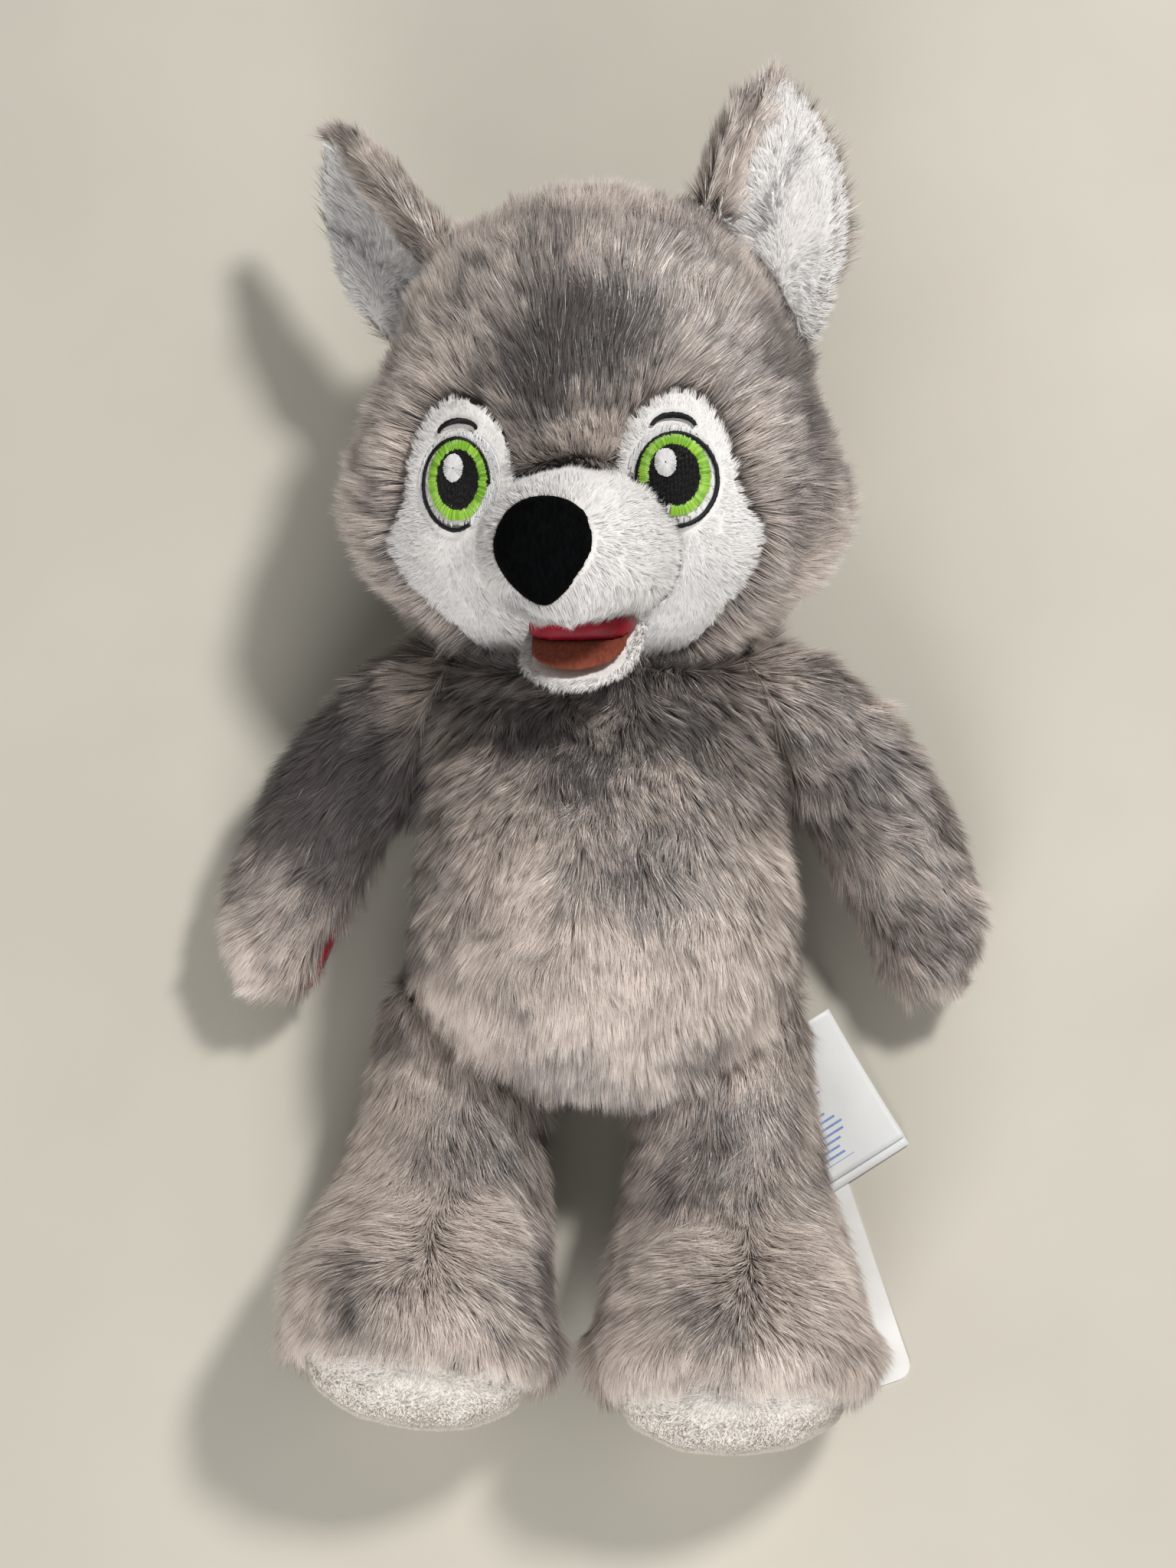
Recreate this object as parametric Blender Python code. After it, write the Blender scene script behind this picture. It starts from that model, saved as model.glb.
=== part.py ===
"""Plush wolf, 41 cm long, lying on its back.

+Z is up and is the front of the toy, +Y points to the top of its head and -Y to its feet.
The toy rests on the plane z = 0, and x = 0 runs through the middle of its body.
"""

import math

import bmesh
import bpy
from mathutils import Matrix, Vector

MM = 0.001

# Driving dimensions, in millimetres and degrees
GAP = 0.3
ROUNDNESS = 2.25

TORSO_WIDTH = 128.0
TORSO_TOP = 58.0
TORSO_BOTTOM = -102.0
TORSO_FRONT = 108.0
TORSO_SHIFT = 5.0
TORSO_BACK_SUNK = 4.0

HEAD_WIDTH = 168.0
HEAD_HEIGHT = 171.0
HEAD_FRONT_DEPTH = 66.0
HEAD_BACK_DEPTH = 69.0
HEAD_BACK_SUNK = 3.0
HEAD_ABOVE_NECK = 66.0
HEAD_YAW = -9.0
HEAD_PITCH = 10.0

FACE_SUNK = 2.0
FACE_THICKNESS = 3.0

EYE_SPACING = 67.0
EYE_HEIGHT = -21.5
EYE_HALF_WIDTH = 10.6
EYE_HALF_HEIGHT = 12.4
EYE_RING_WIDTH = 3.6
EYE_WHITE_MARGIN = 1.6
EYE_OUTLINE_WIDTH = 1.4
THREAD_THICKNESS = 0.6

MUZZLE_WIDTH = 54.0
MUZZLE_HEIGHT = 46.0
MUZZLE_TIP_OUT = 107.0
MUZZLE_DROP = -48.0
MUZZLE_SHIFT = 4.0
MUZZLE_ROOT_OUT = 30.0

NOSE_WIDTH = 30.5
NOSE_HEIGHT = 32.5
NOSE_BULGE = 9.0
NOSE_OUT = 6.5
NOSE_SHIFT = 1.0

JAW_WIDTH = 41.0
JAW_THICKNESS = 7.0
JAW_LENGTH = 42.5
JAW_OPENING = 37.0
JAW_SHIFT = 4.5
TONGUE_WIDTH = 31.0
TONGUE_THICKNESS = 3.2
TONGUE_LENGTH = 27.0

EAR_LENGTH = 67.0
EAR_ROOT = 28.0
EAR_WIDTH = 62.0
EAR_SPACING = 100.0
EAR_HEIGHT = 52.0
EAR_BACK_THICKNESS = 6.5
EAR_LINING_THICKNESS = 2.5
EAR_RIM = 3.5
EAR_FOLD_START = 0.2
EAR_FOLD = 118.0
EAR_FOLD_RADIUS = 9.0
EAR_CUP_RADIUS = 80.0
EAR_CURL = 5.0
EAR_TURN_LEFT = 36.0
EAR_TURN_RIGHT = 14.0
EAR_LEAN = 24.0
EAR_TILT = 15.0

ARM_LENGTH = 137.0
ARM_WIDTH = 50.0
ARM_THICKNESS = 46.0
ARM_SPREAD = 32.5
PAW_WIDTH = 44.0
PAW_PAD_LENGTH = 30.0
PAW_PAD_WIDTH = 22.0
PAW_PAD_THICKNESS = 2.0

LEG_WIDTH = 62.0
LEG_THICKNESS = 60.0
LEG_SPACING = 84.0
FOOT_SPACING = 99.0
FOOT_WIDTH = 92.0
FOOT_HEIGHT = 96.0
FOOT_END = -184.0
RIGHT_FOOT_REACH = 8.0
SOLE_DOME = 20.0
SOLE_INSET = 4.0
SOLE_EDGE = 0.5

TAIL_LENGTH = 80.0
TAIL_WIDTH = 34.0
TAIL_THICKNESS = 16.0
TAIL_ROOT = -88.0

LABEL_WIDTH = 33.0
LABEL_LENGTH = 52.0
LABEL_THICKNESS = 0.5
LABEL_TURN = 32.0
LABEL_RISE = 12.0

CARD_WIDTH = 55.0
CARD_LENGTH = 92.0
CARD_THICKNESS = 0.8
CARD_CORNER = 5.0
CARD_TURN = 18.0


def sample(rows, t):
    """Values of each column of rows at t, on a smooth curve. A row starts with its own t."""
    last = len(rows) - 1
    t = min(max(t, rows[0][0]), rows[last][0])
    i = 0
    while i < last - 1 and t > rows[i + 1][0]:
        i += 1
    span = rows[i + 1][0] - rows[i][0]
    f = (t - rows[i][0]) / span

    def slope(k, column):
        before = rows[max(k - 1, 0)]
        after = rows[min(k + 1, last)]
        return (after[column] - before[column]) / (after[0] - before[0])

    values = []
    for column in range(1, len(rows[0])):
        start = rows[i][column]
        end = rows[i + 1][column]
        start_slope = slope(i, column) * span
        end_slope = slope(i + 1, column) * span
        bend = (2 * f ** 3 - 3 * f ** 2 + 1) * start + (3 * f ** 2 - 2 * f ** 3) * end
        bend += (f ** 3 - 2 * f ** 2 + f) * start_slope + (f ** 3 - f ** 2) * end_slope
        values.append(bend)
    return values


def signed_power(value, power):
    return math.copysign(abs(value) ** power, value)


class SoftForm:
    """A stuffed form along a spine. Each row is t, x, y, z, half width, size up, size down.

    All its sections are square to the line from the first point to the last one.
    """

    def __init__(self, rows, up, start_cap, end_cap, roundness=ROUNDNESS):
        self.rows = rows
        self.along = (Vector(rows[-1][1:4]) - Vector(rows[0][1:4])).normalized()
        self.side = self.along.cross(Vector(up)).normalized()
        self.up = self.side.cross(self.along).normalized()
        self.start_cap = start_cap
        self.end_cap = end_cap
        self.roundness = roundness
        self.start = rows[0][0]
        self.end = rows[-1][0]

    def closing(self, t):
        """How much of its width the form has at t, where its ends close in a dome."""
        if self.start_cap and t < self.start + self.start_cap:
            into = (self.start + self.start_cap - t) / self.start_cap
            return math.sqrt(max(0.0, 1 - into * into))
        if self.end_cap and t > self.end - self.end_cap:
            into = (t - self.end + self.end_cap) / self.end_cap
            return math.sqrt(max(0.0, 1 - into * into))
        return 1.0

    def section(self, t):
        x, y, z, half_width, size_up, size_down = sample(self.rows, t)
        close = self.closing(t)
        return Vector((x, y, z)), half_width * close, size_up * close, size_down * close

    def point(self, t, angle):
        """Point of the surface at t, where angle 0 is the side and 90 degrees is up."""
        centre, half_width, size_up, size_down = self.section(t)
        across = signed_power(math.cos(angle), 2 / self.roundness) * half_width
        sine = math.sin(angle)
        height = signed_power(sine, 2 / self.roundness) * (size_up if sine > 0 else size_down)
        return centre + self.side * across + self.up * height

    def stops(self, rings):
        """Places of the rings, closer together in the domed ends."""
        places = []
        cap_rings = max(3, rings // 3)
        if self.start_cap:
            for i in range(cap_rings):
                turn = 0.5 * math.pi * i / cap_rings
                places.append(self.start + self.start_cap * (1 - math.cos(turn)))
        low = self.start + self.start_cap
        high = self.end - self.end_cap
        for i in range(rings + 1):
            places.append(low + (high - low) * i / rings)
        if self.end_cap:
            for i in range(cap_rings - 1, -1, -1):
                turn = 0.5 * math.pi * i / cap_rings
                places.append(self.end - self.end_cap * (1 - math.cos(turn)))
        return places

    def mesh(self, rings, sides):
        bm = bmesh.new()
        loops = []
        for t in self.stops(rings):
            if self.closing(t) < 1e-6:
                loops.append([bm.verts.new(self.section(t)[0])])
                continue
            loop = []
            for k in range(sides):
                loop.append(bm.verts.new(self.point(t, 2 * math.pi * (k + 0.5) / sides)))
            loops.append(loop)
        if len(loops[0]) > 1:
            loops.insert(0, [bm.verts.new(self.section(self.start)[0])])
        if len(loops[-1]) > 1:
            loops.append([bm.verts.new(self.section(self.end)[0])])
        for loop, following in zip(loops, loops[1:]):
            join_loops(bm, loop, following)
        bmesh.ops.recalc_face_normals(bm, faces=bm.faces)
        return bm


def join_loops(bm, loop, following):
    """Faces between two closed loops, where one of them may be a single point."""
    count = max(len(loop), len(following))
    for k in range(count):
        corners = []
        for ring, step in ((loop, k), (loop, k + 1), (following, k + 1), (following, k)):
            corner = ring[step % len(ring)]
            if corner not in corners:
                corners.append(corner)
        bm.faces.new(corners)


def grow(bm, amount):
    """Moves the whole surface out along its normals."""
    bm.normal_update()
    moved = [(vertex, vertex.co + vertex.normal * amount) for vertex in bm.verts]
    for vertex, place in moved:
        vertex.co = place
    return bm


def rest_on_floor(bm, floor=0.0):
    """Flattens what would reach below the floor."""
    for vertex in bm.verts:
        vertex.co.z = max(vertex.co.z, floor)
    return bm


def transformed(bm, matrix):
    bmesh.ops.transform(bm, matrix=matrix, verts=bm.verts)
    return bm


def material(name, colour, roughness):
    made = bpy.data.materials.get(name) or bpy.data.materials.new(name)
    made.use_nodes = True
    shader = made.node_tree.nodes["Principled BSDF"]
    shader.inputs["Base Color"].default_value = (*colour, 1.0)
    shader.inputs["Roughness"].default_value = roughness
    shader.inputs["Metallic"].default_value = 0.0
    return made


def add_object(name, bm, finish=None):
    """Makes an object in metres out of a mesh in millimetres."""
    mesh = bpy.data.meshes.new(name)
    bmesh.ops.recalc_face_normals(bm, faces=bm.faces)
    bm.to_mesh(mesh)
    bm.free()
    mesh.transform(Matrix.Scale(MM, 4))
    made = bpy.data.objects.new(name, mesh)
    bpy.context.scene.collection.objects.link(made)
    if finish:
        mesh.materials.append(finish)
        mesh.shade_smooth()
        mesh.set_sharp_from_angle(angle=math.radians(50))
    return made


def add_cutter(name, bm):
    cutter = add_object(name, bm)
    cutter.hide_render = True
    cutter.display_type = "WIRE"
    return cutter


def cut(target, *cutters):
    for cutter in cutters:
        modifier = target.modifiers.new("cut by " + cutter.name, "BOOLEAN")
        modifier.operation = "DIFFERENCE"
        modifier.solver = "EXACT"
        modifier.object = cutter


# Head: share of its height, then half width, depth in front and depth behind as shares of the full sizes.
# Its own frame has x to the side, y to the top and z out of the face.
HEAD_PROFILE = (
    (-0.500, 0.64, 0.62, 0.66),
    (-0.420, 0.72, 0.72, 0.74),
    (-0.345, 0.85, 0.86, 0.84),
    (-0.235, 0.965, 0.96, 0.93),
    (-0.120, 1.00, 1.00, 0.98),
    (0.020, 0.930, 1.02, 1.00),
    (0.140, 0.832, 1.00, 0.98),
    (0.260, 0.745, 0.93, 0.93),
    (0.380, 0.665, 0.82, 0.86),
    (0.500, 0.590, 0.66, 0.76),
)
HEAD_TOP_CAP = 0.26
HEAD_CHIN_CAP = 0.30
HEAD_RINGS = 15
HEAD_SIDES = 38
NECK_OVERLAP = 8.0


def head_form():
    rows = []
    for height, width, front, back in HEAD_PROFILE:
        rows.append((height * HEAD_HEIGHT, 0.0, height * HEAD_HEIGHT, 0.0, 0.5 * HEAD_WIDTH * width,
                     HEAD_FRONT_DEPTH * front, HEAD_BACK_DEPTH * back))
    return SoftForm(rows, (0, 0, 1), HEAD_HEIGHT * HEAD_CHIN_CAP, HEAD_HEIGHT * HEAD_TOP_CAP)


def head_matrix():
    pitch = math.radians(HEAD_PITCH)
    neck_to_centre = HEAD_ABOVE_NECK * math.cos(pitch) - NECK_OVERLAP
    centre = Vector((TORSO_SHIFT / 2, TORSO_TOP + neck_to_centre, HEAD_BACK_DEPTH - HEAD_BACK_SUNK))
    turn = Matrix.Rotation(pitch, 4, "X") @ Matrix.Rotation(math.radians(HEAD_YAW), 4, "Y")
    return Matrix.Translation(centre) @ turn


def face_point(form, x, y, out):
    """Point in front of the head at x, y, moved out along the surface's normal."""
    def depth(px, py):
        half_width, front = form.section(py)[1:3]
        inside = max(0.0, 1 - abs(px / half_width) ** form.roundness)
        return front * inside ** (1 / form.roundness)
    step = 1.0
    z = depth(x, y)
    slope_x = (depth(x + step, y) - depth(x - step, y)) / (2 * step)
    slope_y = (depth(x, y + step) - depth(x, y - step)) / (2 * step)
    normal = Vector((-slope_x, -slope_y, 1.0)).normalized()
    return Vector((x, y, z)) + normal * out


def smooth_outline(points, count):
    """A closed smooth curve through a few points."""
    total = len(points)
    curve = []
    for i in range(count):
        place = total * i / count
        k = int(place)
        f = place - k
        a, b, c, d = (Vector(points[(k + j) % total]) for j in (-1, 0, 1, 2))
        tangent_b = (c - a) * 0.5
        tangent_c = (d - b) * 0.5
        point = (2 * f ** 3 - 3 * f ** 2 + 1) * b + (3 * f ** 2 - 2 * f ** 3) * c
        point += (f ** 3 - 2 * f ** 2 + f) * tangent_b + (f ** 3 - f ** 2) * tangent_c
        curve.append(point)
    return curve


def oval(centre, half_width, half_height, count, start=0.0, end=360.0):
    """Points round an oval, or along a part of it."""
    closed = abs(end - start) >= 360
    points = []
    for i in range(count):
        turn = math.radians(start + (end - start) * i / (count if closed else count - 1))
        x = centre[0] + half_width * math.cos(turn)
        y = centre[1] + half_height * math.sin(turn)
        points.append(Vector((x, y)))
    return points


def spread(outline, amount):
    """Moves a closed outline outwards by amount."""
    count = len(outline)
    area = sum(outline[i - 1].x * outline[i].y - outline[i].x * outline[i - 1].y for i in range(count))
    turn = 1.0 if area > 0 else -1.0
    moved = []
    for i in range(count):
        along = (outline[(i + 1) % count] - outline[i - 1]).normalized()
        moved.append(outline[i] + Vector((along.y, -along.x)) * amount * turn)
    return moved


def plate(place, outline, low, high, steps=(0.45, 0.78, 1.0)):
    """A pad with the given outline, whose faces lie low and high above a surface."""
    bm = bmesh.new()
    middle = sum(outline, Vector((0, 0))) / len(outline)
    layers = []
    for out in (low, high):
        loops = [[bm.verts.new(place(middle.x, middle.y, out))]]
        for step in steps:
            loops.append([bm.verts.new(place(*(middle + (p - middle) * step), out)) for p in outline])
        for loop, following in zip(loops, loops[1:]):
            join_loops(bm, loop, following)
        layers.append(loops[-1])
    join_loops(bm, layers[0], layers[1])
    bmesh.ops.recalc_face_normals(bm, faces=bm.faces)
    return bm


def band(place, outer, inner, low, high, closed=True):
    """A ring or an arc between two outlines of as many points, standing on a surface."""
    bm = bmesh.new()
    rings = []
    for outline, out in ((outer, low), (outer, high), (inner, high), (inner, low)):
        rings.append([bm.verts.new(place(p.x, p.y, out)) for p in outline])
    count = len(outer)
    for i in range(count if closed else count - 1):
        following = (i + 1) % count
        for k in range(4):
            near = rings[k]
            far = rings[(k + 1) % 4]
            bm.faces.new((near[i], near[following], far[following], far[i]))
    if not closed:
        bm.faces.new([ring[0] for ring in rings])
        bm.faces.new([ring[-1] for ring in rings])
    bmesh.ops.recalc_face_normals(bm, faces=bm.faces)
    return bm


# Face patch outlines round the eye, for the right one: outwards, upwards, in millimetres
FACE_PATCH = (
    (-14.0, 14.0),
    (1.5, 26.5),
    (13.0, 19.5),
    (18.5, 8.0),
    (20.5, -5.0),
    (26.0, -14.0),
    (25.0, -24.0),
    (14.0, -39.0),
    (2.0, -50.0),
    (-16.0, -53.0),
    (-22.0, -34.0),
    (-18.0, -6.0),
)
POCKET_OUT = 12.0
OUTLINE_LEFT_ARC = (60, 330)
OUTLINE_RIGHT_ARC = (-150, 120)
GLINT_SHIFT = (-1.6, 3.4)
GLINT_HALF_WIDTH = 2.9
GLINT_HALF_HEIGHT = 3.9
BROW_RISE = 18.8
BROW_WIDTH = 13.0
BROW_HEIGHT = 4.2
BROW_THICKNESS = 1.6
BROW_ARC = (172, 8)


def build_face(form, placed, cloth):
    """White patches with the embroidered eyes and brows. Returns the cutters for the head."""
    cutters = []
    for side, side_name in ((-1, "left"), (1, "right")):
        eye = Vector((side * EYE_SPACING / 2, EYE_HEIGHT))

        def place(x, y, out):
            return face_point(form, x, y, out)

        outline = [eye + Vector((side * p[0], p[1])) for p in FACE_PATCH]
        outline = smooth_outline(outline, 30)
        bottom = -FACE_SUNK - FACE_THICKNESS
        add_object("face_patch_" + side_name, transformed(plate(place, outline, bottom, -FACE_SUNK), placed),
                   cloth["short_white"])
        pocket = plate(place, spread(outline, 1.5 * GAP), bottom - 2 * GAP, POCKET_OUT)
        cutters.append(add_cutter("pocket_" + side_name, transformed(pocket, placed)))

        base = -FACE_SUNK + GAP
        top = base + THREAD_THICKNESS
        wide = EYE_HALF_WIDTH + EYE_WHITE_MARGIN
        tall = EYE_HALF_HEIGHT + EYE_WHITE_MARGIN
        white = oval(eye, wide, tall, 24)
        add_object("eye_white_" + side_name, transformed(plate(place, white, base, top, (0.6, 1.0)), placed),
                   cloth["thread_white"])
        start, end = OUTLINE_LEFT_ARC if side < 0 else OUTLINE_RIGHT_ARC
        inner = oval(eye, wide + GAP, tall + GAP, 18, start, end)
        outer = oval(eye, wide + GAP + EYE_OUTLINE_WIDTH, tall + GAP + EYE_OUTLINE_WIDTH, 18, start, end)
        add_object("eye_outline_" + side_name, transformed(band(place, outer, inner, base, top, False), placed),
                   cloth["thread_black"])
        base = top + GAP
        top = base + THREAD_THICKNESS
        ring_outer = oval(eye, EYE_HALF_WIDTH, EYE_HALF_HEIGHT, 24)
        ring_inner = oval(eye, EYE_HALF_WIDTH - EYE_RING_WIDTH, EYE_HALF_HEIGHT - EYE_RING_WIDTH, 24)
        add_object("iris_" + side_name, transformed(band(place, ring_outer, ring_inner, base, top), placed),
                   cloth["thread_green"])
        pupil = spread(ring_inner, -GAP)
        add_object("pupil_" + side_name, transformed(plate(place, pupil, base, top, (0.6, 1.0)), placed),
                   cloth["thread_black"])
        base = top + GAP
        top = base + THREAD_THICKNESS
        glint = oval(eye + Vector(GLINT_SHIFT), GLINT_HALF_WIDTH, GLINT_HALF_HEIGHT, 14)
        add_object("glint_" + side_name, transformed(plate(place, glint, base, top, (1.0,)), placed),
                   cloth["thread_white"])
        base = -FACE_SUNK + GAP
        top = base + THREAD_THICKNESS
        middle = eye + Vector((0, BROW_RISE - BROW_HEIGHT))
        upper = oval(middle, BROW_WIDTH / 2, BROW_HEIGHT, 10, *BROW_ARC)
        lower = oval(middle, BROW_WIDTH / 2 - BROW_THICKNESS / 3, BROW_HEIGHT - BROW_THICKNESS, 10, *BROW_ARC)
        add_object("brow_" + side_name, transformed(band(place, upper, lower, base, top, False), placed),
                   cloth["thread_black"])
    return cutters


# Muzzle: share of its reach, share of its drop, then half width, size up and size down as shares
MUZZLE_PROFILE = (
    (0.00, 0.90, 1.10, 1.10, 0.90),
    (0.35, 0.93, 1.10, 1.12, 0.92),
    (0.65, 0.97, 1.04, 1.04, 0.96),
    (0.85, 1.00, 0.98, 0.96, 0.96),
    (1.00, 1.02, 0.90, 0.88, 0.90),
)
MUZZLE_ROOT_CAP = 6.0
MUZZLE_TIP_CAP = 19.0
MUZZLE_ROUNDNESS = 2.15


def muzzle_form():
    reach = MUZZLE_TIP_OUT - MUZZLE_ROOT_OUT
    rows = []
    for along, drop, width, up, down in MUZZLE_PROFILE:
        rows.append((along * reach, MUZZLE_SHIFT, MUZZLE_DROP * drop, MUZZLE_ROOT_OUT + along * reach,
                     MUZZLE_WIDTH / 2 * width, MUZZLE_HEIGHT / 2 * up, MUZZLE_HEIGHT / 2 * down))
    return SoftForm(rows, (0, 1, 0), MUZZLE_ROOT_CAP, MUZZLE_TIP_CAP, MUZZLE_ROUNDNESS)


# Nose outline: across and up, as shares of half its width and half its height
NOSE_OUTLINE = (
    (-1.00, 0.15),
    (-0.76, 0.70),
    (-0.30, 0.97),
    (0.30, 0.97),
    (0.76, 0.74),
    (1.00, 0.30),
    (0.90, -0.16),
    (0.55, -0.62),
    (0.16, -0.93),
    (-0.16, -0.96),
    (-0.55, -0.70),
    (-0.88, -0.30),
)
NOSE_DEPTH = 22.0
NOSE_BELOW_MIDDLE = 1.5
NOSE_BACK_SHARE = 0.97


def nose_mesh():
    """A rounded triangle, point down, domed in front, with its back inside the muzzle."""
    outline = smooth_outline([(x * NOSE_WIDTH / 2, y * NOSE_HEIGHT / 2) for x, y in NOSE_OUTLINE], 24)
    front = MUZZLE_TIP_OUT + NOSE_OUT
    middle = MUZZLE_DROP - NOSE_BELOW_MIDDLE
    rings = []
    for turn in (25, 48, 68, 90):
        angle = math.radians(turn)
        rings.append((math.sin(angle), front - NOSE_BULGE * (1 - math.cos(angle))))
    rings.append((NOSE_BACK_SHARE, front - NOSE_DEPTH))
    bm = bmesh.new()
    loops = [[bm.verts.new((NOSE_SHIFT, middle, front))]]
    for share, out in rings:
        loops.append([bm.verts.new((NOSE_SHIFT + p.x * share, middle + p.y * share, out)) for p in outline])
    for loop, following in zip(loops, loops[1:]):
        join_loops(bm, loop, following)
    bm.faces.new(loops[-1])
    bmesh.ops.recalc_face_normals(bm, faces=bm.faces)
    return bm


# Lower jaw and tongue: share of length, half width as a share
JAW_PROFILE = ((0.00, 0.98), (0.40, 1.00), (0.75, 0.88), (1.00, 0.66))
JAW_HINGE_DROP = 0.42
JAW_HINGE_OUT = 52.0
JAW_BACK = 12.0
JAW_ROOT_CAP = 3.0
JAW_TIP_CAP = 0.32
JAW_ROUNDNESS = 2.3

# Mouth lining: share of length, half width and height as shares
LINING_PROFILE = ((0.0, 1.0, 0.7), (0.5, 1.0, 1.0), (1.0, 0.9, 0.8))
LINING_LENGTH = 22.0
LINING_BACK = 6.0
LINING_RISE = 2.0
LINING_WIDTH = 33.0
LINING_UP = 7.0
LINING_DOWN = 9.0
LINING_ROOT_CAP = 3.0
LINING_TIP_CAP = 5.0


def jaw_frame():
    """Hinge of the lower jaw and its direction, which opens downwards from the muzzle."""
    hinge = Vector((JAW_SHIFT, MUZZLE_DROP - MUZZLE_HEIGHT * JAW_HINGE_DROP, JAW_HINGE_OUT))
    opening = math.radians(JAW_OPENING)
    along = Vector((0, -math.sin(opening), math.cos(opening)))
    up = Vector((0, math.cos(opening), math.sin(opening)))
    return hinge, along, up


def jaw_form(length, width, thickness, lift, back=0.0):
    hinge, along, up = jaw_frame()
    rows = []
    for share, wide in JAW_PROFILE:
        centre = hinge + along * (share * length - back) + up * lift
        rows.append((share * length, *centre, width / 2 * wide, thickness / 2, thickness / 2))
    return SoftForm(rows, (0, 1, 0), JAW_ROOT_CAP, length * JAW_TIP_CAP, JAW_ROUNDNESS)


def lining_form():
    hinge = jaw_frame()[0]
    rows = []
    for share, wide, high in LINING_PROFILE:
        centre = hinge + Vector((0, LINING_RISE * (1 - share), share * LINING_LENGTH - LINING_BACK))
        rows.append((share * LINING_LENGTH, *centre, LINING_WIDTH / 2 * wide, LINING_UP * high,
                     LINING_DOWN * high))
    return SoftForm(rows, (0, 1, 0), LINING_ROOT_CAP, LINING_TIP_CAP, JAW_ROUNDNESS)


def build_mouth(placed, cloth, head, muzzle_cutter):
    jaw = jaw_form(JAW_LENGTH, JAW_WIDTH, JAW_THICKNESS, -JAW_THICKNESS / 2, JAW_BACK)
    jaw_object = add_object("lower_jaw", transformed(jaw.mesh(6, 18), placed), cloth["short_white"])
    jaw_cutter = add_cutter("jaw_space", transformed(grow(jaw.mesh(6, 18), GAP), placed))
    tongue = jaw_form(TONGUE_LENGTH, TONGUE_WIDTH, TONGUE_THICKNESS, TONGUE_THICKNESS / 2 + GAP)
    tongue_object = add_object("tongue", transformed(tongue.mesh(5, 16), placed), cloth["tongue_felt"])
    tongue_cutter = add_cutter("tongue_space", transformed(grow(tongue.mesh(5, 16), GAP), placed))
    lining = lining_form()
    lining_object = add_object("mouth_lining", transformed(lining.mesh(5, 16), placed), cloth["mouth_satin"])
    lining_cutter = add_cutter("lining_space", transformed(grow(lining.mesh(5, 16), GAP), placed))
    cut(jaw_object, muzzle_cutter)
    cut(tongue_object, muzzle_cutter)
    cut(lining_object, muzzle_cutter, jaw_cutter, tongue_cutter)
    cut(head, jaw_cutter, tongue_cutter, lining_cutter)
    return jaw_cutter


# Ear: share of its whole length with the part inside the head, half width as a share of half the full width
EAR_OUTLINE = ((0.00, 0.72), (0.22, 0.92), (0.42, 1.00), (0.62, 0.92), (0.80, 0.68), (0.92, 0.40), (1.00, 0.12))
EAR_COLUMNS = 14
EAR_ROWS = 8
EAR_LEAST_HALF = 1.5
EAR_OUT = 2.0


def ear_bend(along, half):
    """Place and hollow-side direction in a section of an ear, whose inner part is folded over.

    along runs from minus half at the inner edge to half at the outer one.
    """
    start = -EAR_FOLD_START * half
    reach = along - start
    radius = EAR_CUP_RADIUS
    if reach < 0:
        radius = max(EAR_FOLD_RADIUS, (half + start) / math.radians(EAR_FOLD))
    turn = reach / radius
    place = Vector((start + radius * math.sin(turn), radius * (1 - math.cos(turn))))
    return place, Vector((-math.sin(turn), math.cos(turn)))


def ear_leaf(low, high, margin):
    """A folded leaf, tip along +Y, hollow side towards +Z and inner edge towards -X."""
    bm = bmesh.new()
    edges = []
    for out in (low, high):
        grid = []
        for j in range(EAR_ROWS + 1):
            share = j / EAR_ROWS
            height = share * (EAR_LENGTH + EAR_ROOT - margin) - EAR_ROOT
            half = EAR_WIDTH / 2 * sample(EAR_OUTLINE, share)[0]
            curl = -EAR_CURL * (height / EAR_LENGTH) ** 2
            line = []
            for i in range(EAR_COLUMNS + 1):
                across = 2 * i / EAR_COLUMNS - 1
                place, facing = ear_bend(across * max(EAR_LEAST_HALF, half - margin), half)
                place = place + facing * out
                line.append(bm.verts.new((place.x, height, place.y + curl)))
            grid.append(line)
        for line, following in zip(grid, grid[1:]):
            for i in range(EAR_COLUMNS):
                bm.faces.new((line[i], line[i + 1], following[i + 1], following[i]))
        outer = [line[-1] for line in grid[1:]]
        inner = [line[0] for line in grid[-2:0:-1]]
        edges.append(grid[0] + outer + grid[-1][-2::-1] + inner)
    join_loops(bm, edges[0], edges[1])
    bmesh.ops.recalc_face_normals(bm, faces=bm.faces)
    return bm


def build_ears(placed, cloth, head_space):
    half = EAR_BACK_THICKNESS / 2
    for side, side_name, turn in ((-1, "left", EAR_TURN_LEFT), (1, "right", EAR_TURN_RIGHT)):
        lean = EAR_LEAN - side * EAR_TILT
        root = Vector((side * EAR_SPACING / 2, EAR_HEIGHT, EAR_OUT))
        frame = placed @ Matrix.Translation(root) @ Matrix.Rotation(math.radians(-side * lean), 4, "Z")
        frame = frame @ Matrix.Rotation(math.radians(side * turn), 4, "Y") @ Matrix.Scale(side, 4, (1, 0, 0))
        back = ear_leaf(-half, half, 0.0)
        back_object = add_object("ear_" + side_name, transformed(back, frame), cloth["long_grey"])
        lining = ear_leaf(half + 2 * GAP, half + 2 * GAP + EAR_LINING_THICKNESS, EAR_RIM)
        lining_object = add_object("ear_lining_" + side_name, transformed(lining, frame), cloth["short_white"])
        cut(back_object, head_space)
        cut(lining_object, head_space)


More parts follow.
